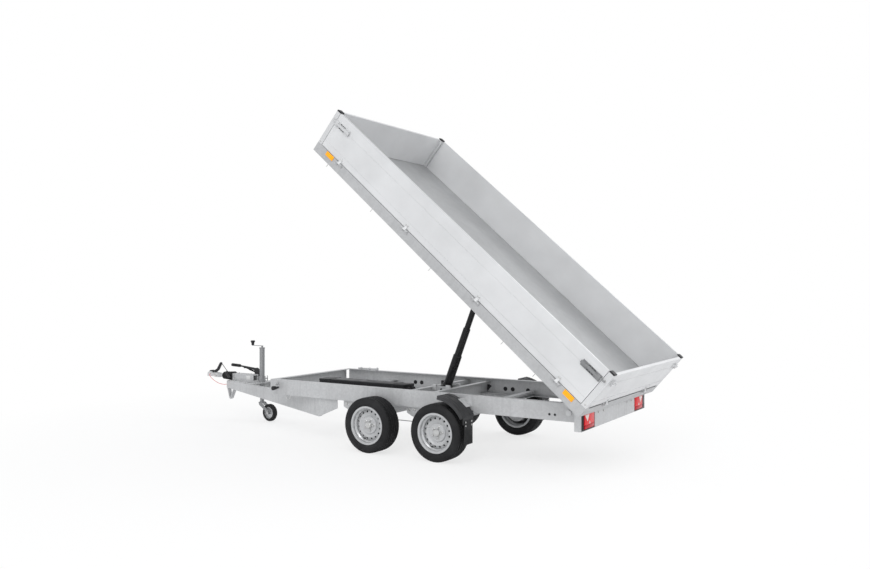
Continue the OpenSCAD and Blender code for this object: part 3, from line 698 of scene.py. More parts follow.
    def copies(self, piece: bpy.types.Object, places: Sequence[Matrix]) -> bpy.types.Object:
        """Sets a piece and copies of it at the given places and joins them.

        Args:
            piece: The piece, which goes to the first place.
            places: The placements.

        Returns:
            The joined piece.
        """
        twins = [self.copy(piece, place) for place in places[1:]]
        piece.data.transform(places[0])
        return self.joined(piece, *twins)

    def spread(self, piece: bpy.types.Object, count: int) -> bpy.types.Object:
        """Repeats a piece evenly round the Z axis and joins the ring."""
        step = 2 * math.pi / count
        return self.copies(piece, [Matrix.Rotation(step * i, 4, "Z") for i in range(count)])

    def bolt(self, radius: float) -> bpy.types.Object:
        """Makes one bolt head on its washer, standing on z = 0 with its axis along Z."""
        wide = radius * 1.55
        washer = self.turned([(wide, -0.0004), (wide, 0.0012), (wide - 0.0005, 0.0016)], 20)
        head = self.turned(
            [(radius * 1.15, 0.001), (radius * 1.15, radius * 0.7), (radius, radius * 0.8)], 6
        )
        return self.joined(washer, head)

    def hand_over(
        self,
        piece: bpy.types.Object,
        name: str,
        body: str,
        finish: Finish,
        smooth: float = 35.0,
        replaces: Sequence[str] = (),
    ) -> bpy.types.Object:
        """Names, smooths, paints and rides a finished piece, and logs it.

        Args:
            piece: The piece, already in place.
            name: Its name.
            body: The moving body that it rides on.
            finish: Its finish.
            smooth: The angle in degrees up to which edges are shaded smooth.
            replaces: The CAD nodes that it stands in for.

        Returns:
            The piece.
        """
        piece.name = name
        piece.data.name = name
        self.clear()
        piece.select_set(True)
        bpy.context.view_layer.objects.active = piece
        bpy.ops.object.shade_smooth_by_angle(angle=math.radians(smooth))
        piece.data.materials.clear()
        piece.data.materials.append(self.paint.get(finish))
        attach(piece, body)
        if replaces:
            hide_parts(*replaces)
        LOG.info("%s: %d faces on %s, %s", name, len(piece.data.polygons), body, finish.name)
        return piece


@dataclass
class Studio:
    """The pale floor, soft light and camera of the photograph.

    Attributes:
        focal_px: The photograph's focal length in pixels.
        photo_width: The photograph's width in pixels.
        sensor: The sensor's width in millimetres.
        eye: The camera's place.
        yaw: The camera's turn about the vertical, in degrees.
    """

    focal_px: float = 829.9
    photo_width: float = 870.0
    sensor: float = 36.0
    eye: Point = (5.0558, -7.1518, 1.5934)
    yaw: float = 32.35

    def camera(self) -> None:
        """Sets up the camera that took the photograph."""
        data = bpy.data.cameras.new("camera")
        data.sensor_width = self.sensor
        data.lens = self.focal_px / self.photo_width * self.sensor
        camera = bpy.data.objects.new("camera", data)
        camera.location = self.eye
        camera.rotation_euler = (math.radians(90), 0.0, math.radians(self.yaw))
        bpy.context.scene.collection.objects.link(camera)
        bpy.context.scene.camera = camera

    def floor(self) -> None:
        """Lays the pale floor, which fades to white round the trailer and keeps its shadow."""
        bpy.ops.mesh.primitive_plane_add(size=400.0, location=(0, 0, -0.001))
        ground = bpy.context.object
        ground.name = "studio_floor"
        graph = Graph("studio_floor")
        graph.shade(Base_Color=(0.93, 0.93, 0.93), Roughness=0.9)
        distance = graph.add("ShaderNodeVectorMath")
        distance.operation = "LENGTH"
        graph.link(graph.place, distance.inputs[0])
        fade = graph.ramp(distance.outputs["Value"], 0.72, 1.0, 2.0, 5.0)
        rays = graph.add("ShaderNodeLightPath")
        seen = graph.maths("MULTIPLY", fade, rays.outputs["Is Camera Ray"])
        white = graph.add("ShaderNodeEmission")
        mix = graph.add("ShaderNodeMixShader")
        graph.link(seen, mix.inputs[0])
        graph.link(graph.shader.outputs[0], mix.inputs[1])
        graph.link(white.outputs[0], mix.inputs[2])
        graph.link(mix.outputs[0], graph.tree.nodes["Material Output"].inputs["Surface"])
        ground.data.materials.append(graph.material)

    def world(self) -> None:
        """Lights the object from all round and shows plain white behind it."""
        world = bpy.data.worlds.new("studio")
        bpy.context.scene.world = world
        world.use_nodes = True
        tree = world.node_tree
        soft = tree.nodes["Background"]
        soft.inputs["Color"].default_value = (0.97, 0.98, 1.0, 1.0)
        soft.inputs["Strength"].default_value = 0.80
        white = tree.nodes.new("ShaderNodeBackground")
        white.inputs["Color"].default_value = (1, 1, 1, 1)
        white.inputs["Strength"].default_value = 1.0
        rays = tree.nodes.new("ShaderNodeLightPath")
        either = tree.nodes.new("ShaderNodeMath")
        either.operation = "MAXIMUM"
        tree.links.new(rays.outputs["Is Camera Ray"], either.inputs[0])
        tree.links.new(rays.outputs["Is Transmission Ray"], either.inputs[1])
        mix = tree.nodes.new("ShaderNodeMixShader")
        tree.links.new(either.outputs[0], mix.inputs[0])
        tree.links.new(soft.outputs[0], mix.inputs[1])
        tree.links.new(white.outputs[0], mix.inputs[2])
        tree.links.new(mix.outputs[0], tree.nodes["World Output"].inputs["Surface"])

    def lamp(self, name: str, place: Point, target: Point, size: float, power: float) -> None:
        """Hangs one square soft box.

        Args:
            name: The lamp's name.
            place: Where it hangs.
            target: The point that it faces.
            size: The length of its side.
            power: Its power in watts.
        """
        data = bpy.data.lights.new(name, "AREA")
        data.size = size
        data.energy = power
        lamp = bpy.data.objects.new(name, data)
        lamp.location = place
        aim = Vector(target) - Vector(place)
        lamp.rotation_euler = aim.to_track_quat("-Z", "Y").to_euler()
        bpy.context.scene.collection.objects.link(lamp)

    def build(self) -> None:
        """Builds the camera, floor, world and lamps."""
        bpy.context.scene.view_settings.view_transform = "Standard"
        self.camera()
        self.floor()
        self.world()
        self.lamp("key", (3.0, -9.0, 9.0), (0.0, 0.0, 1.0), 6.0, 370.0)
        self.lamp("fill", (7.5, -3.0, 3.0), (0.5, 0.0, 1.2), 4.0, 45.0)
        self.lamp("back", (6.0, 8.0, 8.0), (0.5, 0.0, 1.0), 6.0, 260.0)


@dataclass
class BreakawayCable:
    """The thin red cable that pulls the brake on if the coupling lets go.

    Attributes:
        bench: The modelling bench.
        layout: The trailer's places.
        diameter: The cable's diameter.
        route: The points that it follows.
    """

    bench: Bench
    layout: Layout
    diameter: float = 0.005
    route: tuple[Point, ...] = (
        (-3.409, -0.041, 0.505), (-3.402, -0.054, 0.496), (-3.386, -0.066, 0.482),
        (-3.362, -0.072, 0.465), (-3.334, -0.076, 0.449), (-3.305, -0.078, 0.435),
        (-3.275, -0.079, 0.422), (-3.245, -0.079, 0.411), (-3.215, -0.078, 0.402),
        (-3.185, -0.075, 0.396), (-3.158, -0.071, 0.392), (-3.134, -0.066, 0.391),
        (-3.114, -0.061, 0.393), (-3.1003, -0.059, 0.396),
    )

    @staticmethod
    def smoothed(spots: Sequence[Point]) -> list[Point]:
        """Puts one point between each pair of a route's points, on the smooth curve through them.

        Args:
            spots: The route's points.

        Returns:
            The route's points with the new ones among them.
        """
        ends = [Vector(spot) for spot in (spots[0], *spots, spots[-1])]
        smooth = [tuple(spots[0])]
        for before, first, second, after in zip(ends, ends[1:], ends[2:], ends[3:]):
            middle = 0.5625 * (first + second) - 0.0625 * (before + after)
            smooth += [tuple(middle), tuple(second)]
        return smooth

    def build(self) -> None:
        self.bench.clear()
        bpy.ops.curve.primitive_nurbs_path_add()
        cable = bpy.context.object
        cable.name = "red_breakaway_cable"
        curve = cable.data
        curve.splines.clear()
        spline = curve.splines.new("POLY")
        spots = self.smoothed(self.layout.route(self.route))
        spline.points.add(len(spots) - 1)
        for point, spot in zip(spline.points, spots):
            point.co = (*spot, 1.0)
        curve.dimensions = "3D"
        curve.bevel_depth = self.diameter / 2
        curve.bevel_resolution = 4
        curve.use_fill_caps = True
        curve.materials.append(self.bench.paint.get(CABLE_RED))
        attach(cable, "chassis")
        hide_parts("breakaway_cable")


@dataclass
class RoadWheels:
    """The four road wheels: treaded tyres, dark drums, nuts, caps and valves.

    Attributes:
        bench: The modelling bench.
        layout: The trailer's places.
        pitches: How many tread pitches go round a tyre.
        tread_floor: The radius at the bottom of the tread's grooves.
        ribs: Each rib's middle, half width, top radius, gap and skew.
        nuts: How many nuts hold a wheel.
        nut_circle: The radius of the nuts' circle.
    """

    bench: Bench
    layout: Layout
    pitches: int = 60
    tread_floor: float = 0.2545
    ribs: tuple[tuple[float, float, float, float, float], ...] = (
        (-0.0665, 0.0120, 0.2607, 0.0036, 0.004),
        (-0.0340, 0.0135, 0.2622, 0.0022, 0.005),
        (0.0, 0.0135, 0.2624, 0.0016, 0.006),
        (0.0340, 0.0135, 0.2622, 0.0022, 0.005),
        (0.0665, 0.0120, 0.2607, 0.0036, 0.004),
    )
    nuts: int = 5
    nut_circle: float = 0.048

    def carcass(self) -> bpy.types.Object:
        """Turns the tyre's body with its bead, rim protector and ribbed side walls."""
        half = [
            (0.1652, 0.0775), (0.1825, 0.0826), (0.1868, 0.0914), (0.1900, 0.0950),
            (0.1925, 0.0958), (0.1945, 0.0950), (0.1960, 0.0962), (0.2060, 0.0972),
            (0.2072, 0.0975), (0.2084, 0.0972), (0.2210, 0.0966), (0.2222, 0.0971),
            (0.2234, 0.0962), (0.2365, 0.0935), (0.2395, 0.0925), (0.2480, 0.0880),
            (0.2530, 0.0830), (0.2575, 0.0790), (0.2560, 0.0760), (0.2545, 0.0700),
            (0.2545, 0.0400),
        ]
        outer = [(r, -z) for r, z in half]
        inner = [(r, z) for r, z in reversed(half)]
        rings = [*outer, (self.tread_floor, 0.0), *inner, outer[0]]
        return self.bench.turned(rings, 96, hollow=True)

    def tread(self) -> bpy.types.Object:
        """Cuts one pitch of tread blocks and repeats it round the tyre."""
        arc = 2 * math.pi * 0.262 / self.pitches
        foot = self.tread_floor - 0.001
        blocks = []
        for middle, half, top, gap, skew in self.ribs:
            reach = (arc - gap) / 2
            outline = [
                (-reach - skew, -half), (reach - skew, -half), (reach + skew, half),
                (-reach + skew, half),
            ]
            place = Matrix(((0, 0, 1, foot), (1, 0, 0, 0), (0, 1, 0, middle), (0, 0, 0, 1)))
            blocks.append(self.bench.slab(outline, top - foot, place))
        return self.bench.spread(self.bench.joined(*blocks), self.pitches)

    def lugs(self) -> bpy.types.Object:
        """Cuts the short ribs on both shoulders of the tyre."""
        outline = (
            (0.2430, 0.0865), (0.2585, 0.0755), (0.2595, 0.0790), (0.2540, 0.0855),
            (0.2440, 0.0915),
        )
        place = Facing.LEFT.turn @ shift(z=-0.006)
        lugs = [
            self.bench.slab([(radius, side * height) for radius, height in outline], 0.012, place)
            for side in (-1, 1)
        ]
        return self.bench.spread(self.bench.joined(*lugs), self.pitches)

    def drum(self) -> bpy.types.Object:
        """Turns the dark drum seen through the rim's vents."""
        face = self.bench.turned(
            [(0.062, -0.0198), (0.1165, -0.0235), (0.1165, -0.0225), (0.062, -0.0188),
             (0.062, -0.0198)], 64, hollow=True,
        )
        shroud = self.bench.turned(
            [(0.1185, -0.022), (0.1185, 0.010), (0.1455, 0.012), (0.1455, 0.009),
             (0.1215, 0.007), (0.1215, -0.022), (0.1185, -0.022)], 64, hollow=True,
        )
        return self.bench.joined(face, shroud)

    def hub(self) -> bpy.types.Object:
        """Turns the nuts' seats and domes and the centre cap."""
        aside = shift(self.nut_circle)
        dome = self.bench.turned(
            [(0.0088, 0.0540), (0.0084, 0.0580), (0.0062, 0.0608), (0.0030, 0.0620),
             (0.0004, 0.0622)], 16, place=aside,
        )
        seat = self.bench.turned([(0.0150, 0.0400), (0.0146, 0.0440), (0.0118, 0.0464)], 20, place=aside)
        ring = self.bench.spread(self.bench.joined(dome, seat), self.nuts)
        cap = self.bench.turned(
            [(0.0322, 0.0560), (0.0322, 0.0626), (0.0300, 0.0650), (0.0275, 0.0690),
             (0.0200, 0.0716), (0.0190, 0.0710), (0.0120, 0.0728), (0.0004, 0.0732)], 40,
        )
        return self.bench.joined(ring, cap)

    def valve(self) -> bpy.types.Object:
        """Turns the valve's stem and cap near the rim's edge."""
        place = Matrix.Rotation(math.radians(-112), 4, "Z") @ shift(0.1385, 0, 0.030)
        return self.bench.turned(
            [(0.0065, -0.004), (0.0052, 0.004), (0.0038, 0.008), (0.0038, 0.022), (0.0046, 0.023),
             (0.0046, 0.032), (0.0036, 0.034), (0.0004, 0.0345)], 14, place=place,
        )

    def build(self) -> None:
        """Makes one set of pieces and fits a copy of each to every wheel."""
        sets = (
            ("tyre", self.bench.joined(self.carcass(), self.tread(), self.lugs()), RUBBER),
            ("drum", self.drum(), DARK_STEEL),
            ("hub", self.hub(), BRIGHT),
            ("valve", self.valve(), SOFT_RUBBER),
        )
        half = self.layout.axle_gap / 2
        for kind, pattern, finish in sets:
            for axle, x in (("front", -half), ("rear", half)):
                for hand, side, _ in SIDES:
                    corner = f"{axle}_{hand}"
                    self.bench.hand_over(
                        self.bench.copy(pattern, self.layout.wheel(x, side)),
                        f"{kind}_detail_{corner}", f"wheel_{corner}", finish,
                        replaces=[f"tyre_{corner}"] if kind == "tyre" else (),
                    )
            bpy.data.meshes.remove(pattern.data)


@dataclass
class Mudguards:
    """The plastic guards over the rear wheels: beads, stays, bolts and flap ribs.

    Attributes:
        bench: The modelling bench.
        layout: The trailer's places.
        radius: The guard's outer radius.
        start: The arc's lower end in degrees over the level.
        end: The arc's upper end in degrees over the level.
        flap: The mudflap's rear face.
    """

    bench: Bench
    layout: Layout
    radius: float = 0.3425
    start: float = 28.5
    end: float = 83.5
    flap: float = 0.6892

    def arc(self, radius: float, y: float, count: int = 18) -> list[Point]:
        """Gives points along an arc about the rear wheel's axle."""
        step = math.radians(self.end - self.start) / (count - 1)
        middle = self.layout.axle_gap / 2 + self.layout.mid
        angles = [math.radians(self.start) + step * i for i in range(count)]
        return [
            (middle + radius * math.cos(a), y, self.layout.wheel_z + radius * math.sin(a))
            for a in angles
        ]

    def stay(self, side: int, angle: float) -> Matrix:
        """Gives a placement on top of the guard, tangent to it."""
        turn = math.radians(angle)
        x = self.layout.axle_gap / 2 + (self.radius + 0.002) * math.cos(turn)
        z = self.layout.wheel_z + (self.radius + 0.002) * math.sin(turn)
        return self.layout.at(x, side * 0.715, z) @ Matrix.Rotation(math.pi / 2 - turn, 4, "Y")

    def build(self) -> None:
        """Builds both guards' details."""
        bench, layout = self.bench, self.layout
        for hand, side, _ in SIDES:
            beads = [
                bench.wire(self.arc(self.radius - 0.0005, side * y), 0.0035)
                for y in (0.885, 0.845, 0.760)
            ]
            bench.hand_over(bench.joined(*beads), f"mudguard_beads_{hand}", "chassis", GUARD_PLASTIC)
            plate = bench.block((0.110, 0.088, 0.004), self.stay(side, 52), 0.0015)
            bolts = bench.copies(
                bench.bolt(0.0055),
                [self.stay(side, 52) @ shift(x, side * 0.030, 0.002) for x in (-0.035, 0.035)],
            )
            bench.hand_over(bench.joined(plate, bolts), f"guard_stay_{hand}", "chassis", ZINC)
            spots = [
                layout.at(self.flap, side * y, z, Facing.REAR)
                for y, z in ((0.862, 0.384), (0.758, 0.384), (0.862, 0.352), (0.758, 0.352))
            ]
            bench.hand_over(
                bench.copies(bench.bolt(0.0055), spots), f"flap_bolts_{hand}", "chassis", BRIGHT
            )
            ribs = [
                bench.block((0.004, 0.124, 0.003), layout.at(self.flap, side * 0.81, z, Facing.REAR), 0.0012)
                for z in (0.205, 0.213)
            ]
            bench.hand_over(bench.joined(*ribs), f"flap_ribs_{hand}", "chassis", SOFT_RUBBER)


@dataclass
class ChassisFittings:
    """Bolts, grommets, lock knobs, the cylinder's cradle and the lever tube on the beams."""

    bench: Bench
    layout: Layout

    def bolts(self) -> None:
        """Fits the bolts of the axle brackets, the lamp panel and the pivots."""
        layout, spots = self.layout, []
        for _, side, facing in SIDES:
            for x in (-0.80, -0.74, -0.615, -0.530, -0.049, 0.010, 0.140, 0.262):
                spots.append(layout.at(x, side * (layout.web_y - 0.0200), 0.412, facing))
        spots += [layout.at(1.742, y, 0.505, Facing.REAR) for y in (-0.42, -0.30, 0.30, 0.42)]
        self.bench.hand_over(
            self.bench.copies(self.bench.bolt(0.008), spots), "chassis_bolts", "chassis", BRIGHT
        )
        holes = [layout.at(x, -layout.web_y, 0.490, Facing.LEFT) for x in (1.400, 1.451)]
        self.bench.hand_over(
            self.bench.copies(self.bench.bolt(0.007), holes), "web_bolts", "chassis", DARK_STEEL
        )
        boss = self.bench.turned(
            [(0.027, -0.001), (0.027, 0.006), (0.022, 0.009), (0.014, 0.010), (0.0004, 0.0105)], 32
        )
        bosses = [
            layout.at(1.577, side * layout.web_y, 0.515, facing) for _, side, facing in SIDES
        ]
        self.bench.hand_over(self.bench.copies(boss, bosses), "web_bosses", "chassis", ZINC)
        caps = self.bench.turned(
            [(0.0225, -0.001), (0.0225, 0.003), (0.0200, 0.006), (0.0130, 0.0085), (0.0004, 0.0090)], 32
        )
        ends = [
            layout.at(layout.pivot_x, side * 0.7180, layout.pivot_z, facing)
            for _, side, facing in SIDES
        ]
        self.bench.hand_over(self.bench.copies(caps, ends), "pivot_caps", "chassis", ZINC)

    def grommets(self) -> None:
        """Presses rubber grommets into the cable holes of the right beam's web."""
        grommet = self.bench.turned(
            [(0.0225, 0.0), (0.0225, 0.003), (0.0190, 0.0045), (0.0160, 0.0030),
             (0.0160, -0.0005), (0.0004, -0.0010)], 28,
        )
        inner = self.layout.web_y - 0.004
        spots = [
            self.layout.at(x, inner, 0.490, Facing.LEFT)
            for x in (-0.858, -0.774, 0.285, 0.372, 0.549)
        ]
        self.bench.hand_over(
            self.bench.copies(grommet, spots), "cable_grommets", "chassis", SOFT_RUBBER
        )

    def locks(self) -> None:
        """Builds the knobs of the bed's front locks and the lashing hoops."""
        bench, layout = self.bench, self.layout
        for hand, side, facing in SIDES:
            knob = bench.turned(
                [(0.0175, -0.020), (0.0205, -0.014), (0.0205, 0.004), (0.0230, 0.008),
                 (0.0230, 0.018), (0.0200, 0.023), (0.0004, 0.024)], 12,
                place=layout.at(-1.70, side * 0.7335, 0.512, facing),
            )
            bench.hand_over(
                bench.rounded(knob, 0.0015), f"lock_knob_{hand}", "chassis", BLACK_PLASTIC
            )
            hoop = [(-1.600, 0.660, 0.441), (-1.600, 0.662, 0.405), (-1.569, 0.662, 0.398),
                    (-1.538, 0.662, 0.405), (-1.538, 0.660, 0.441)]
            loop = bench.wire(layout.route((x, side * y, z) for x, y, z in hoop), 0.004)
            bench.hand_over(loop, f"lashing_hoop_{hand}", "chassis", BRIGHT)

    def lever_tube(self) -> None:
        """Lays the pump's lever tube with its ball end on the right beam."""
        tube = self.bench.wire(
            self.layout.route([(-1.640, 0.630, 0.6085), (-1.500, 0.626, 0.6095), (-1.370, 0.620, 0.6110)]),
            0.0090,
        )
        ball = self.bench.turned(
            [(0.0060, -0.018), (0.0135, -0.013), (0.0170, -0.006), (0.0180, 0.0), (0.0170, 0.006),
             (0.0135, 0.013), (0.0004, 0.018)], 20, place=self.layout.at(-1.362, 0.620, 0.6135),
        )
        clips = [
            self.bench.block((0.016, 0.034, 0.028), self.layout.at(x, 0.629, 0.6085), 0.004)
            for x in (-1.600, -1.480)
        ]
        self.bench.hand_over(
            self.bench.joined(tube, ball, *clips), "lever_tube", "chassis", ZINC
        )

    def cradle(self) -> None:
        """Sets the cylinder's bearings, its valve block and a bracket on the right beam."""
        bench, layout = self.bench, self.layout
        blocks = [
            bench.block((0.046, 0.026, 0.060), layout.at(x, side * 0.100, 0.560), 0.006)
            for x in (-0.115, 0.040) for side in (-1, 1)
        ]
        bench.hand_over(bench.joined(*blocks), "bearing_blocks", "chassis", ZINC)
        valves = bench.block((0.090, 0.070, 0.060), layout.at(-0.150, 0.180, 0.572), 0.006)
        bench.hand_over(valves, "valve_block", "chassis", BLACK_PAINT)
        ring = bench.turned(
            [(0.0156, -0.007), (0.0300, -0.007), (0.0300, 0.007), (0.0156, 0.007), (0.0156, -0.007)],
            32, hollow=True,
        )
        pins = [
            layout.at(layout.cradle[0], side * 0.0790, layout.cradle[1], facing)
            for _, side, facing in SIDES
        ]
        bench.hand_over(bench.copies(ring, pins), "trunnion_bearings", "chassis", BLACK_PAINT)
        bracket = bench.slab(
            [(-0.008, -0.040), (0.008, -0.040), (0.055, 0.012), (0.030, 0.028), (-0.030, 0.028), (-0.055, 0.012)],
            0.004,
            layout.at(0.065, 0.666, 0.497, Facing.LEFT),
        )
        bench.hand_over(bench.rounded(bracket, 0.001), "web_bracket", "chassis", DARK_STEEL)

    def build(self) -> None:
        """Builds all the fittings."""
        self.cradle()
        self.bolts()
        self.grommets()
        self.locks()
        self.lever_tube()


@dataclass
class Drawbar:
    """Details of the drawbar: bellows, coupling, brake lever, blank label and plug.

    Attributes:
        bench: The modelling bench.
        layout: The trailer's places.
        shaft_z: The height of the drawbar's shaft.
        bellows_x: The front end of the bellows.
        folds: How many folds the bellows have.
        bellows_length: The length of the bellows.
    """

    bench: Bench
    layout: Layout
    shaft_z: float = 0.492
    bellows_x: float = -3.210
    folds: int = 7
    bellows_length: float = 0.190

    def bellows(self) -> None:
        """Turns the rubber bellows with rounded folds and end collars."""
        length = self.bellows_length
        pitch = length / self.folds
        rings: list[tuple[float, float]] = [(0.0235, 0.0), (0.0320, 0.0)]
        for i in range(self.folds):
            low, high, foot = 0.0310 + 0.002 * i, 0.0440 + 0.002 * i, i * pitch
            rings += [
                (low, foot + 0.08 * pitch), (high - 0.002, foot + 0.36 * pitch),
                (high, foot + 0.5 * pitch), (high - 0.002, foot + 0.64 * pitch),
                (low, foot + 0.92 * pitch),
            ]
        rings += [(0.0460, length - 0.004), (0.0460, length), (0.0235, length), (0.0235, 0.0)]
        place = self.layout.at(self.bellows_x, 0, self.shaft_z, Facing.REAR)
        self.bench.hand_over(
            self.bench.turned(rings, 48, True, place), "shaft_bellows", "chassis", SOFT_RUBBER,
            50.0, ["gaiter"],
        )

    def bolts(self) -> None:
        """Fits the coupling's and the housing's bolts and the grease nipples."""
        layout, spots = self.layout, []
        for _, side, facing in SIDES:
            spots += [layout.at(x, side * 0.032, z, facing) for x, z in ((-3.345, 0.500), (-3.315, 0.484))]
            spots += [layout.at(-2.990, side * 0.046, z, facing) for z in (0.470, 0.508)]
            spots += [
                layout.at(x, side * y, 0.448)
                for x, y in ((-2.985, 0.072), (-2.840, 0.105), (-2.715, 0.140))
            ]
        self.bench.hand_over(
            self.bench.copies(self.bench.bolt(0.0075), spots), "coupling_bolts", "chassis", BRIGHT
        )
        nipple = self.bench.turned(
            [(0.0050, 0.0), (0.0050, 0.004), (0.0028, 0.006), (0.0038, 0.009), (0.0022, 0.012)], 12
        )
        tops = [layout.at(x, 0, 0.530) for x in (-2.95, -2.76)]
        self.bench.hand_over(self.bench.copies(nipple, tops), "grease_nipples", "chassis", BRIGHT)
        plate = self.bench.block(
            (0.062, 0.046, 0.0012), layout.at(-2.758, -0.0465, 0.492, Facing.LEFT), 0.0005
        )
        self.bench.hand_over(plate, "bare_label_plate", "chassis", WHITE_PLASTIC)

    def lever(self) -> None:
        """Adds the brake lever's ribbed grip and its gas spring."""
        grip = [(0.0175, 0.0), (0.0180, 0.006)]
        for i in range(9):
            foot = 0.012 + i * 0.0135
            grip += [(0.0165, foot), (0.0182, foot + 0.003), (0.0182, foot + 0.010), (0.0165, foot + 0.0125)]
        grip += [(0.0175, 0.136), (0.0120, 0.141), (0.0004, 0.142)]
        place = self.layout.at(-2.992, 0.054, 0.6142) @ Matrix.Rotation(math.radians(-88), 4, "Y")
        self.bench.hand_over(
            self.bench.turned(grip, 24, place=place), "brake_lever_grip", "chassis", SOFT_RUBBER
        )
        spring = self.bench.turned(
            [(0.0095, 0.0), (0.0095, 0.130), (0.0050, 0.132), (0.0050, 0.200), (0.0004, 0.201)], 20,
            place=self.layout.at(-2.735, 0.072, 0.545) @ Matrix.Rotation(math.radians(-76), 4, "Y"),
        )
        pins = self.bench.copies(
            self.bench.turned([(0.0065, -0.006), (0.0065, 0.024), (0.0050, 0.026)], 16),
            [self.layout.at(x, 0.058, z, Facing.RIGHT) for x, z in ((-2.738, 0.546), (-2.925, 0.592))],
        )
        self.bench.hand_over(
            self.bench.joined(spring, pins), "brake_lever_spring", "chassis", BLACK_PAINT
        )

    def plug(self) -> None:
        """Parks the light plug in its holder and adds the release rod."""
        holder = self.bench.turned(
            [(0.0240, -0.012), (0.0285, -0.006), (0.0285, 0.022), (0.0260, 0.026), (0.0235, 0.026),
             (0.0225, 0.018), (0.0004, 0.018)], 32,
            place=self.layout.at(-3.063, -0.058, 0.522, Facing.LEFT),
        )
        arm = self.bench.block((0.030, 0.030, 0.060), self.layout.at(-3.058, -0.052, 0.492), 0.004)
        body = self.bench.wire(
            self.layout.route([(-3.095, -0.072, 0.546), (-3.062, -0.076, 0.512), (-3.032, -0.078, 0.476)]),
            0.0185,
        )
        self.bench.hand_over(
            self.bench.joined(holder, arm, body), "parked_plug", "chassis", BLACK_PLASTIC
        )
        rod = self.bench.wire(
            self.layout.route([(-3.204, -0.040, 0.636), (-3.155, -0.044, 0.594), (-3.106, -0.050, 0.552),
                               (-3.085, -0.052, 0.535)]), 0.0035,
        )
        self.bench.hand_over(rod, "release_rod", "chassis", DARK_STEEL)

    def build(self) -> None:
        """Builds all the drawbar's details."""
        self.bellows()
        self.bolts()
        self.lever()
        self.plug()


@dataclass
class JockeyWheel:
    """The jockey wheel's crank knob, clamp handle and axle nuts.

    Attributes:
        bench: The modelling bench.
        layout: The trailer's places.
        x: The place of the jockey tube.
        trail: How far the wheel's axle lies behind the tube.
    """

    bench: Bench
    layout: Layout
    x: float = -2.580
    trail: float = 0.125

    def build(self) -> None:
        """Builds the jockey wheel's details."""
        knob = self.bench.turned(
            [(0.0150, -0.002), (0.0170, 0.004), (0.0150, 0.012), (0.0190, 0.030), (0.0255, 0.040),
             (0.0265, 0.048), (0.0215, 0.055), (0.0004, 0.057)], 24,
            place=self.layout.at(self.x - 0.150, 0, 0.876),
        )
        self.bench.hand_over(knob, "crank_knob", "chassis", BLACK_PLASTIC)
        bar = self.bench.wire(
            self.layout.route([(self.x, 0.088, z) for z in (0.453, 0.485, 0.517)]), 0.0055
        )
        self.bench.hand_over(bar, "clamp_handle", "chassis", BRIGHT)
        nuts = [
            self.layout.at(self.x + self.trail, side * 0.043, 0.100, facing)
            for _, side, facing in SIDES
        ]
        self.bench.hand_over(
            self.bench.copies(self.bench.bolt(0.011), nuts), "jockey_axle_nuts", "jockey_fork", BRIGHT
        )


@dataclass
class TippingCylinder:
    """Gland rings on top of the telescopic cylinder's barrel and stages.

    Attributes:
        bench: The modelling bench.
        layout: The trailer's places.
        stroke: How far each stage has come out.
        barrel_top: The height of the barrel's top over the trunnion.
        stage_top: The height of the lowered stages' tops over the trunnion.
        radii: The radius of the barrel, of each stage and of the rod.
    """

    bench: Bench
    layout: Layout
    stroke: float = 0.29196
    barrel_top: float = 0.040
    stage_top: float = 0.066
    radii: tuple[float, ...] = (0.0525, 0.044, 0.0365, 0.029, 0.0215)

    def build(self) -> None:
        """Builds a gland ring for the barrel and for each stage."""
        for step, body in enumerate(("cylinder", "stage_1", "stage_2", "stage_3")):
            top = self.barrel_top if step == 0 else self.stage_top + step * self.stroke
            bore, edge = self.radii[step + 1] + 0.0005, self.radii[step] - 0.0006
            ring = self.bench.turned(
                [(bore, -0.0005), (edge, -0.0005), (edge, 0.0030), (edge - 0.0014, 0.0034),
                 (edge - 0.0014, 0.0046), (edge, 0.0050), (edge, 0.0085), (edge - 0.0020, 0.0105),
                 (bore, 0.0105), (bore, -0.0005)], 48, True, self.layout.cylinder(top),
            )
            self.bench.hand_over(ring, f"gland_{body}", body, DARK_STEEL, 25.0)


@dataclass
class PumpBox:
    """The power pack's box: lid, straps and knobs.

    Attributes:
        bench: The modelling bench.
        layout: The trailer's places.
        rear: The box's rear end.
        length: The box's length.
        y: The middle of the box.
        width: The box's width.
        top: The height of the box's top.
    """

    bench: Bench
    layout: Layout
    rear: float = -0.260
    length: float = 1.080
    y: float = -0.345
    width: float = 0.170
    top: float = 0.6063

    def build(self) -> None:
        """Builds the box's lid, straps and knobs."""
        bench, layout = self.bench, self.layout
        middle = self.rear - self.length / 2
        lid = bench.block(
            (self.length + 0.006, self.width + 0.008, 0.022),
            layout.at(middle, self.y, self.top - 0.0085), 0.005,
        )
        bench.hand_over(lid, "pump_box_lid", "chassis", BLACK_PLASTIC)
        half = self.width / 2 + 0.0055
        strap = bench.joined(
            bench.block((0.020, 2 * half + 0.003, 0.003), HERE, 0.001),
            bench.block((0.020, 0.003, 0.098), shift(y=-half, z=-0.048), 0.001),
            bench.block((0.020, 0.003, 0.098), shift(y=half, z=-0.048), 0.001),
        )
        places = [layout.at(self.rear - d, self.y, self.top + 0.003) for d in (0.14, 0.94)]
        bench.hand_over(bench.copies(strap, places), "pump_box_straps", "chassis", DARK_STEEL)
        knob = bench.turned(
            [(0.0248, 0.006), (0.0262, 0.012), (0.0262, 0.030), (0.0240, 0.0395), (0.0120, 0.041),
             (0.0004, 0.041)], 28,
        )
        knobs = [layout.at(self.rear, y, 0.5583, Facing.REAR) for y in (-0.390, -0.310)]
        bench.hand_over(bench.copies(knob, knobs), "pump_box_knobs", "chassis", BLACK_PLASTIC)


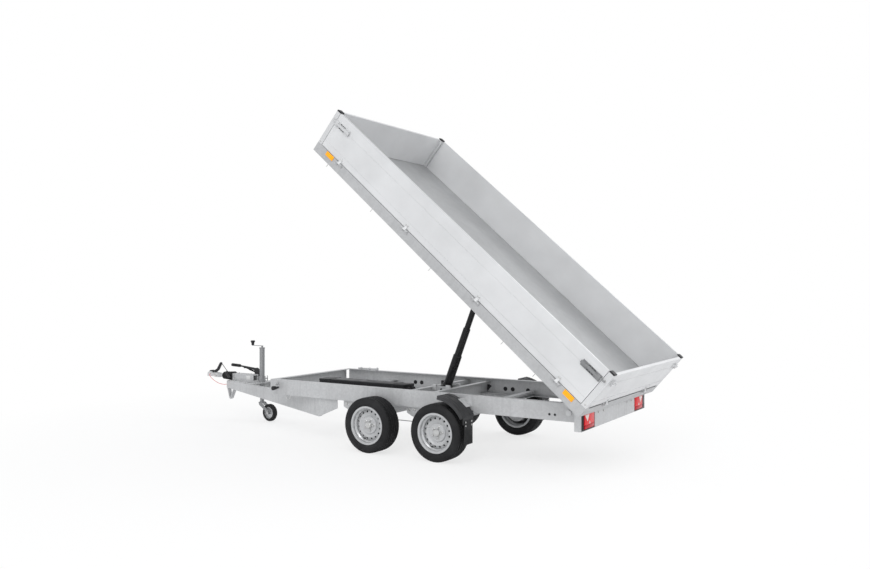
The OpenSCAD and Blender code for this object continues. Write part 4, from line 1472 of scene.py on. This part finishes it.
@dataclass
class TailLamps:
    """The two tail lamps: black base, red lens and clear corner.

    Attributes:
        bench: The modelling bench.
        layout: The trailer's places.
        y: The middle of a lamp.
        z: The height of a lamp's middle.
        face: The place of the lamp's outer face.
        half_w: Half a lamp's width.
        half_h: Half a lamp's height.
    """

    bench: Bench
    layout: Layout
    y: float = 0.640
    z: float = 0.461
    face: float = 1.737
    half_w: float = 0.125
    half_h: float = 0.065

    def plate(
        self, place: Matrix, corners: Outline, depth: float, low: float, soft: float
    ) -> bpy.types.Object:
        """Makes one layer of a lamp.

        Args:
            place: The lamp's placement.
            corners: Its outline as (height, outwards) from the lamp's middle.
            depth: Its thickness.
            low: The height of its foot over the lamp's face.
            soft: The radius of its edges.

        Returns:
            The layer.
        """
        outline = [(-up, out) for up, out in corners]
        return self.bench.rounded(self.bench.slab(outline, depth, place @ shift(z=low)), soft)

    def build(self) -> None:
        """Builds both lamps."""
        w, h = self.half_w, self.half_h
        for hand, side, _ in SIDES:
            place = self.layout.at(self.face, side * self.y, self.z, Facing.REAR)
            edge = [(h + 0.001, -w - 0.001), (h + 0.001, w + 0.001), (-h - 0.001, w + 0.001),
                    (-h - 0.001, -w - 0.001)]
            base = self.plate(place, edge, 0.0065, -0.0075, 0.002)
            self.bench.hand_over(base, f"lamp_base_{hand}", "chassis", BLACK_PLASTIC)
            out, inn = side * (w - 0.034), side * (-w + 0.004)
            foot = -h + 0.036
            red = [(h - 0.004, inn), (h - 0.004, out), (foot, out), (foot, inn)]
            lens = self.plate(place, red, 0.0120, -0.0040, 0.003)
            self.bench.hand_over(lens, f"lamp_lens_{hand}", "chassis", RED)
            strip = [(foot - 0.001, inn), (foot - 0.001, out), (-h + 0.004, out), (-h + 0.004, inn)]
            deep = self.plate(place, strip, 0.0120, -0.0040, 0.003)
            self.bench.hand_over(deep, f"lamp_lens_foot_{hand}", "chassis", DEEP_RED)
            corner = [(h - 0.010, out - side * 0.008), (h - 0.010, out - side * 0.098),
                      (0.000, out - side * 0.060)]
            middle = [(0.004, out - side * 0.108), (-0.024, out - side * 0.122),
                      (-0.024, out - side * 0.094)]
            clear = self.bench.joined(
                self.plate(place, corner, 0.0025, 0.0065, 0.001),
                self.plate(place, middle, 0.0025, 0.0065, 0.001),
            )
            self.bench.hand_over(clear, f"lamp_clear_{hand}", "chassis", CLEAR)


@dataclass
class SideBoards:
    """Latches, hinge screws and top trims of the two drop sides."""

    bench: Bench
    layout: Layout

    def latch(self, side: int, end: int) -> tuple[bpy.types.Object, bpy.types.Object]:
        """Builds one over-centre latch: base plate, lever, yoke, claw and rivets, with dark blocks of painted
        shade for its openings.

        Args:
            side: -1 on the left and 1 on the right.
            end: -1 at the rear end of the bed and 1 at its front.

        Returns:
            The bright pieces joined, and the dark blocks of painted shade joined.
        """
        bench = self.bench
        facing = Facing.LEFT if side < 0 else Facing.RIGHT
        post = 0.057 if end < 0 else self.layout.bed_length - 0.057
        place = self.layout.bed_at(post, side * self.layout.bed_half, 0.3645, facing)

        def spot(along: float, height: float, out: float) -> Matrix:
            """Places a piece by its distance from the post, height and standing out."""
            return place @ shift(end * along, -side * height, out)

        bright = [
            bench.block((0.206, 0.058, 0.003), spot(0.107, 0.0, 0.0072), 0.0012),
            bench.block((0.150, 0.020, 0.009), spot(0.110, 0.002, 0.0195), 0.004),
            bench.block((0.056, 0.028, 0.006), spot(0.190, 0.002, 0.0190), 0.0028),
            bench.block((0.034, 0.046, 0.013), spot(0.030, 0.002, 0.0150), 0.004),
            bench.block((0.050, 0.013, 0.008), spot(-0.012, 0.008, 0.0155), 0.003),
        ]
        rivet = bench.turned([(0.0055, 0.0), (0.0050, 0.0022), (0.0030, 0.0034), (0.0003, 0.0036)], 12)
        bright.append(bench.copies(
            rivet, [spot(a, h, 0.0086) for a in (0.014, 0.062, 0.158, 0.204) for h in (-0.024, 0.024)]
        ))
        # Dark blocks on the plate paint the shade inside its openings.
        slot_shade = bench.block((0.020, 0.008, 0.0012), HERE, 0.0005)
        slot_shades = bench.copies(
            slot_shade, [spot(a, h, 0.0088) for a in (0.084, 0.110, 0.136) for h in (-0.020, 0.022)]
        )
        return bench.joined(*bright), slot_shades

    def build(self) -> None:
        """Builds both sides' details."""
        bench, layout = self.bench, self.layout
        for hand, side, facing in SIDES:
            body = f"side_{hand}"
            for where, end in (("rear", -1), ("front", 1)):
                # Each latch comes with dark blocks that paint the shade inside its openings.
                bright, dark = self.latch(side, end)
                # The rear latches take the darker zinc, whose colour is painted shade.
                finish = SHADED_ZINC if end < 0 else ZINC
                bench.hand_over(bright, f"latch_{where}_{hand}", body, finish)
                bench.hand_over(dark, f"latch_slot_shade_{where}_{hand}", body, DARK_STEEL)
            screws = [
                layout.bed_at(s + d, side * (layout.bed_half + 0.0045), 0.128, facing)
                for s in layout.hinges for d in (-0.009, 0.009)
            ]
            bench.hand_over(
                bench.copies(bench.bolt(0.0045), screws), f"hinge_screws_{hand}", body, BRIGHT
            )
            trim = bench.block(
                (layout.bed_length - 0.118, 0.0254, 0.003),
                layout.bed_at(layout.bed_length / 2, side * (layout.bed_half - 0.0125), 0.4598),
                0.001,
            )
            bench.hand_over(trim, f"board_top_trim_{hand}", body, POST)


@dataclass
class BedFittings:
    """Fittings of the bed: hooks, post bolts, cap covers and reflector lenses.

    Attributes:
        bench: The modelling bench.
        layout: The trailer's places.
        hooks: The tarpaulin hooks' places from the bed's rear end.
    """

    bench: Bench
    layout: Layout
    hooks: tuple[float, ...] = (0.50, 0.89, 1.85, 2.70, 3.40)

    def posts(self) -> None:
        """Fits the posts' bolts and soft cap covers."""
        length, half = self.layout.bed_length, self.layout.bed_half
        spots, caps = [], []
        for _, side, facing in SIDES:
            for s in (0.024, length - 0.024):
                spots += [self.layout.bed_at(s, side * half, h, facing) for h in (0.378, 0.118)]
                caps.append(self.layout.bed_at(s, side * (half - 0.0275), 0.4655))
        self.bench.hand_over(
            self.bench.copies(self.bench.bolt(0.0055), spots), "post_bolts", "bed", BRIGHT
        )
        cap = self.bench.block((0.050, 0.057, 0.0115), HERE, 0.004)
        self.bench.hand_over(self.bench.copies(cap, caps), "post_cap_covers", "bed", BLACK_PLASTIC)

    def build(self) -> None:
        """Builds all the bed's fittings."""
        bench, layout = self.bench, self.layout
        self.posts()
        for hand, side, facing in SIDES:
            hook = bench.wire(
                [(0, side * y, z) for y, z in ((-0.004, 0.012), (0.001, 0.0), (0.004, -0.016), (0.007, -0.032))],
                0.003,
            )
            places = [layout.bed_at(s, side * (layout.bed_half - 0.004), 0.0) for s in self.hooks]
            bench.hand_over(bench.copies(hook, places), f"tarpaulin_hooks_{hand}", "bed", BRIGHT)
            for where, s in (("rear", 0.1725), ("front", layout.bed_length - 0.2095)):
                place = layout.bed_at(s, side * (layout.bed_half + 0.0055), 0.073, facing)
                lens = bench.block((0.098, 0.036, 0.0046), place, 0.0018)
                bench.hand_over(lens, f"reflector_lens_{where}_{hand}", "bed", AMBER)


@dataclass
class Tailboard:
    """The tailboard's corner latches and hinge screws, and dark strips of painted shadow under it."""

    bench: Bench
    layout: Layout

    def build(self) -> None:
        """Builds the tailboard's details."""
        bench, layout = self.bench, self.layout
        for hand, side, _ in SIDES:
            place = layout.bed_at(0.0, side * 0.832, 0.374, Facing.REAR)
            knob = bench.turned(
                [(0.0100, 0.014), (0.0100, 0.030), (0.0070, 0.033), (0.0003, 0.0335)], 20,
                place=place @ shift(0.004, -side * 0.022),
            )
            latch = bench.joined(
                bench.block((0.052, 0.086, 0.004), place @ shift(z=0.0175), 0.0015),
                bench.block((0.020, 0.110, 0.009), place @ shift(0.004, side * 0.010, 0.0235), 0.004),
                knob,
            )
            bench.hand_over(latch, f"tail_latch_{hand}", "tailgate", ZINC)
        # Thin dark strips on the rail under the tailboard are painted shadow in the gap between them, coloured
        # with the black rubber finish.
        shadow_gap_strips = [
            bench.block((0.006, length, 0.003), layout.bed_at(-0.0012, y, 0.0905, Facing.REAR), 0.001)
            for y, length in ((-0.71, 0.30), (0.0, 0.88), (0.71, 0.30))
        ]
        bench.hand_over(bench.joined(*shadow_gap_strips), "tail_shadow_gap_strips", "bed", SOFT_RUBBER)
        screws = [
            layout.bed_at(-0.0045, y + d, 0.128, Facing.REAR)
            for y in (-0.500, 0.500) for d in (-0.009, 0.009)
        ]
        bench.hand_over(
            bench.copies(bench.bolt(0.0045), screws), "tail_hinge_screws", "tailgate", BRIGHT
        )


def dress_nodes(frame: dict, paint: Paintbox) -> None:
    """Gives every CAD node its finish.

    Args:
        frame: The loaded frame.
        paint: The materials.
    """
    paint.dress(
        frame, GALVANISED,
        "side_beam_left", "side_beam_right", "front_crossbeam", "cradle_members",
        "rear_lamp_panel", "overrun_housing", "drawbar_left", "drawbar_right", "drawbar_head", "axle_front", "axle_rear", "axle_brackets", "brake_rods",
    )
    paint.dress(frame, DARK_GALVANISED, "jockey_tube", "jockey_leg", "jockey_fork")
    paint.dress(frame, ZINC, "coupling_head")
    paint.dress(frame, BLACK_PLASTIC, "coupling_handle", "handbrake_lever", "pump_box")
    paint.dress(frame, BLACK_PLASTIC, "lock_pin_left", "lock_pin_right", "post_caps")
    paint.dress(frame, BLACK_PLASTIC, "lamp_left", "lamp_right")
    paint.dress(frame, SOFT_RUBBER, "gaiter", "mudflap_left", "mudflap_right")
    paint.dress(frame, CABLE_RED, "breakaway_cable")
    paint.dress(frame, RUBBER, "jockey_tyre")
    paint.dress(frame, RIM_SILVER, "jockey_rim")
    for corner in ("front_left", "front_right", "rear_left", "rear_right"):
        paint.dress(frame, RUBBER, f"tyre_{corner}")
        paint.dress(frame, RIM_SILVER, f"rim_{corner}")
    paint.dress(frame, GUARD_PLASTIC, "mudguard_left", "mudguard_right")
    paint.dress(
        frame, BLACK_PAINT, "cylinder_barrel", "cylinder_stage_1", "cylinder_stage_2",
        "cylinder_stage_3", "cylinder_rod",
    )
    paint.dress(frame, BED_RAIL, "bed_frame")
    paint.dress(frame, FLOOR, "bed_floor")
    paint.dress(frame, BOARD, "headboard", "side_board_left", "side_board_right", "tailboard")
    paint.dress(frame, POST, "corner_posts")
    paint.dress(frame, AMBER, "reflectors")


def main() -> None:
    """Builds the trailer's looks."""
    logging.basicConfig(level=logging.INFO, format="%(name)s: %(message)s")
    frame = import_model()
    bpy.ops.object.select_all(action="DESELECT")
    Studio().build()
    layout = Layout()
    paint = Paintbox(layout.tilt)
    bench = Bench(paint)
    BreakawayCable(bench, layout).build()
    dress_nodes(frame, paint)
    for assembly in (
        RoadWheels(bench, layout),
        Mudguards(bench, layout),
        ChassisFittings(bench, layout),
        Drawbar(bench, layout),
        JockeyWheel(bench, layout),
        TippingCylinder(bench, layout),
        PumpBox(bench, layout),
        TailLamps(bench, layout),
        SideBoards(bench, layout),
        BedFittings(bench, layout),
        Tailboard(bench, layout),
    ):
        LOG.info("building %s", type(assembly).__name__)
        assembly.build()


if __name__ == "__main__":
    main()
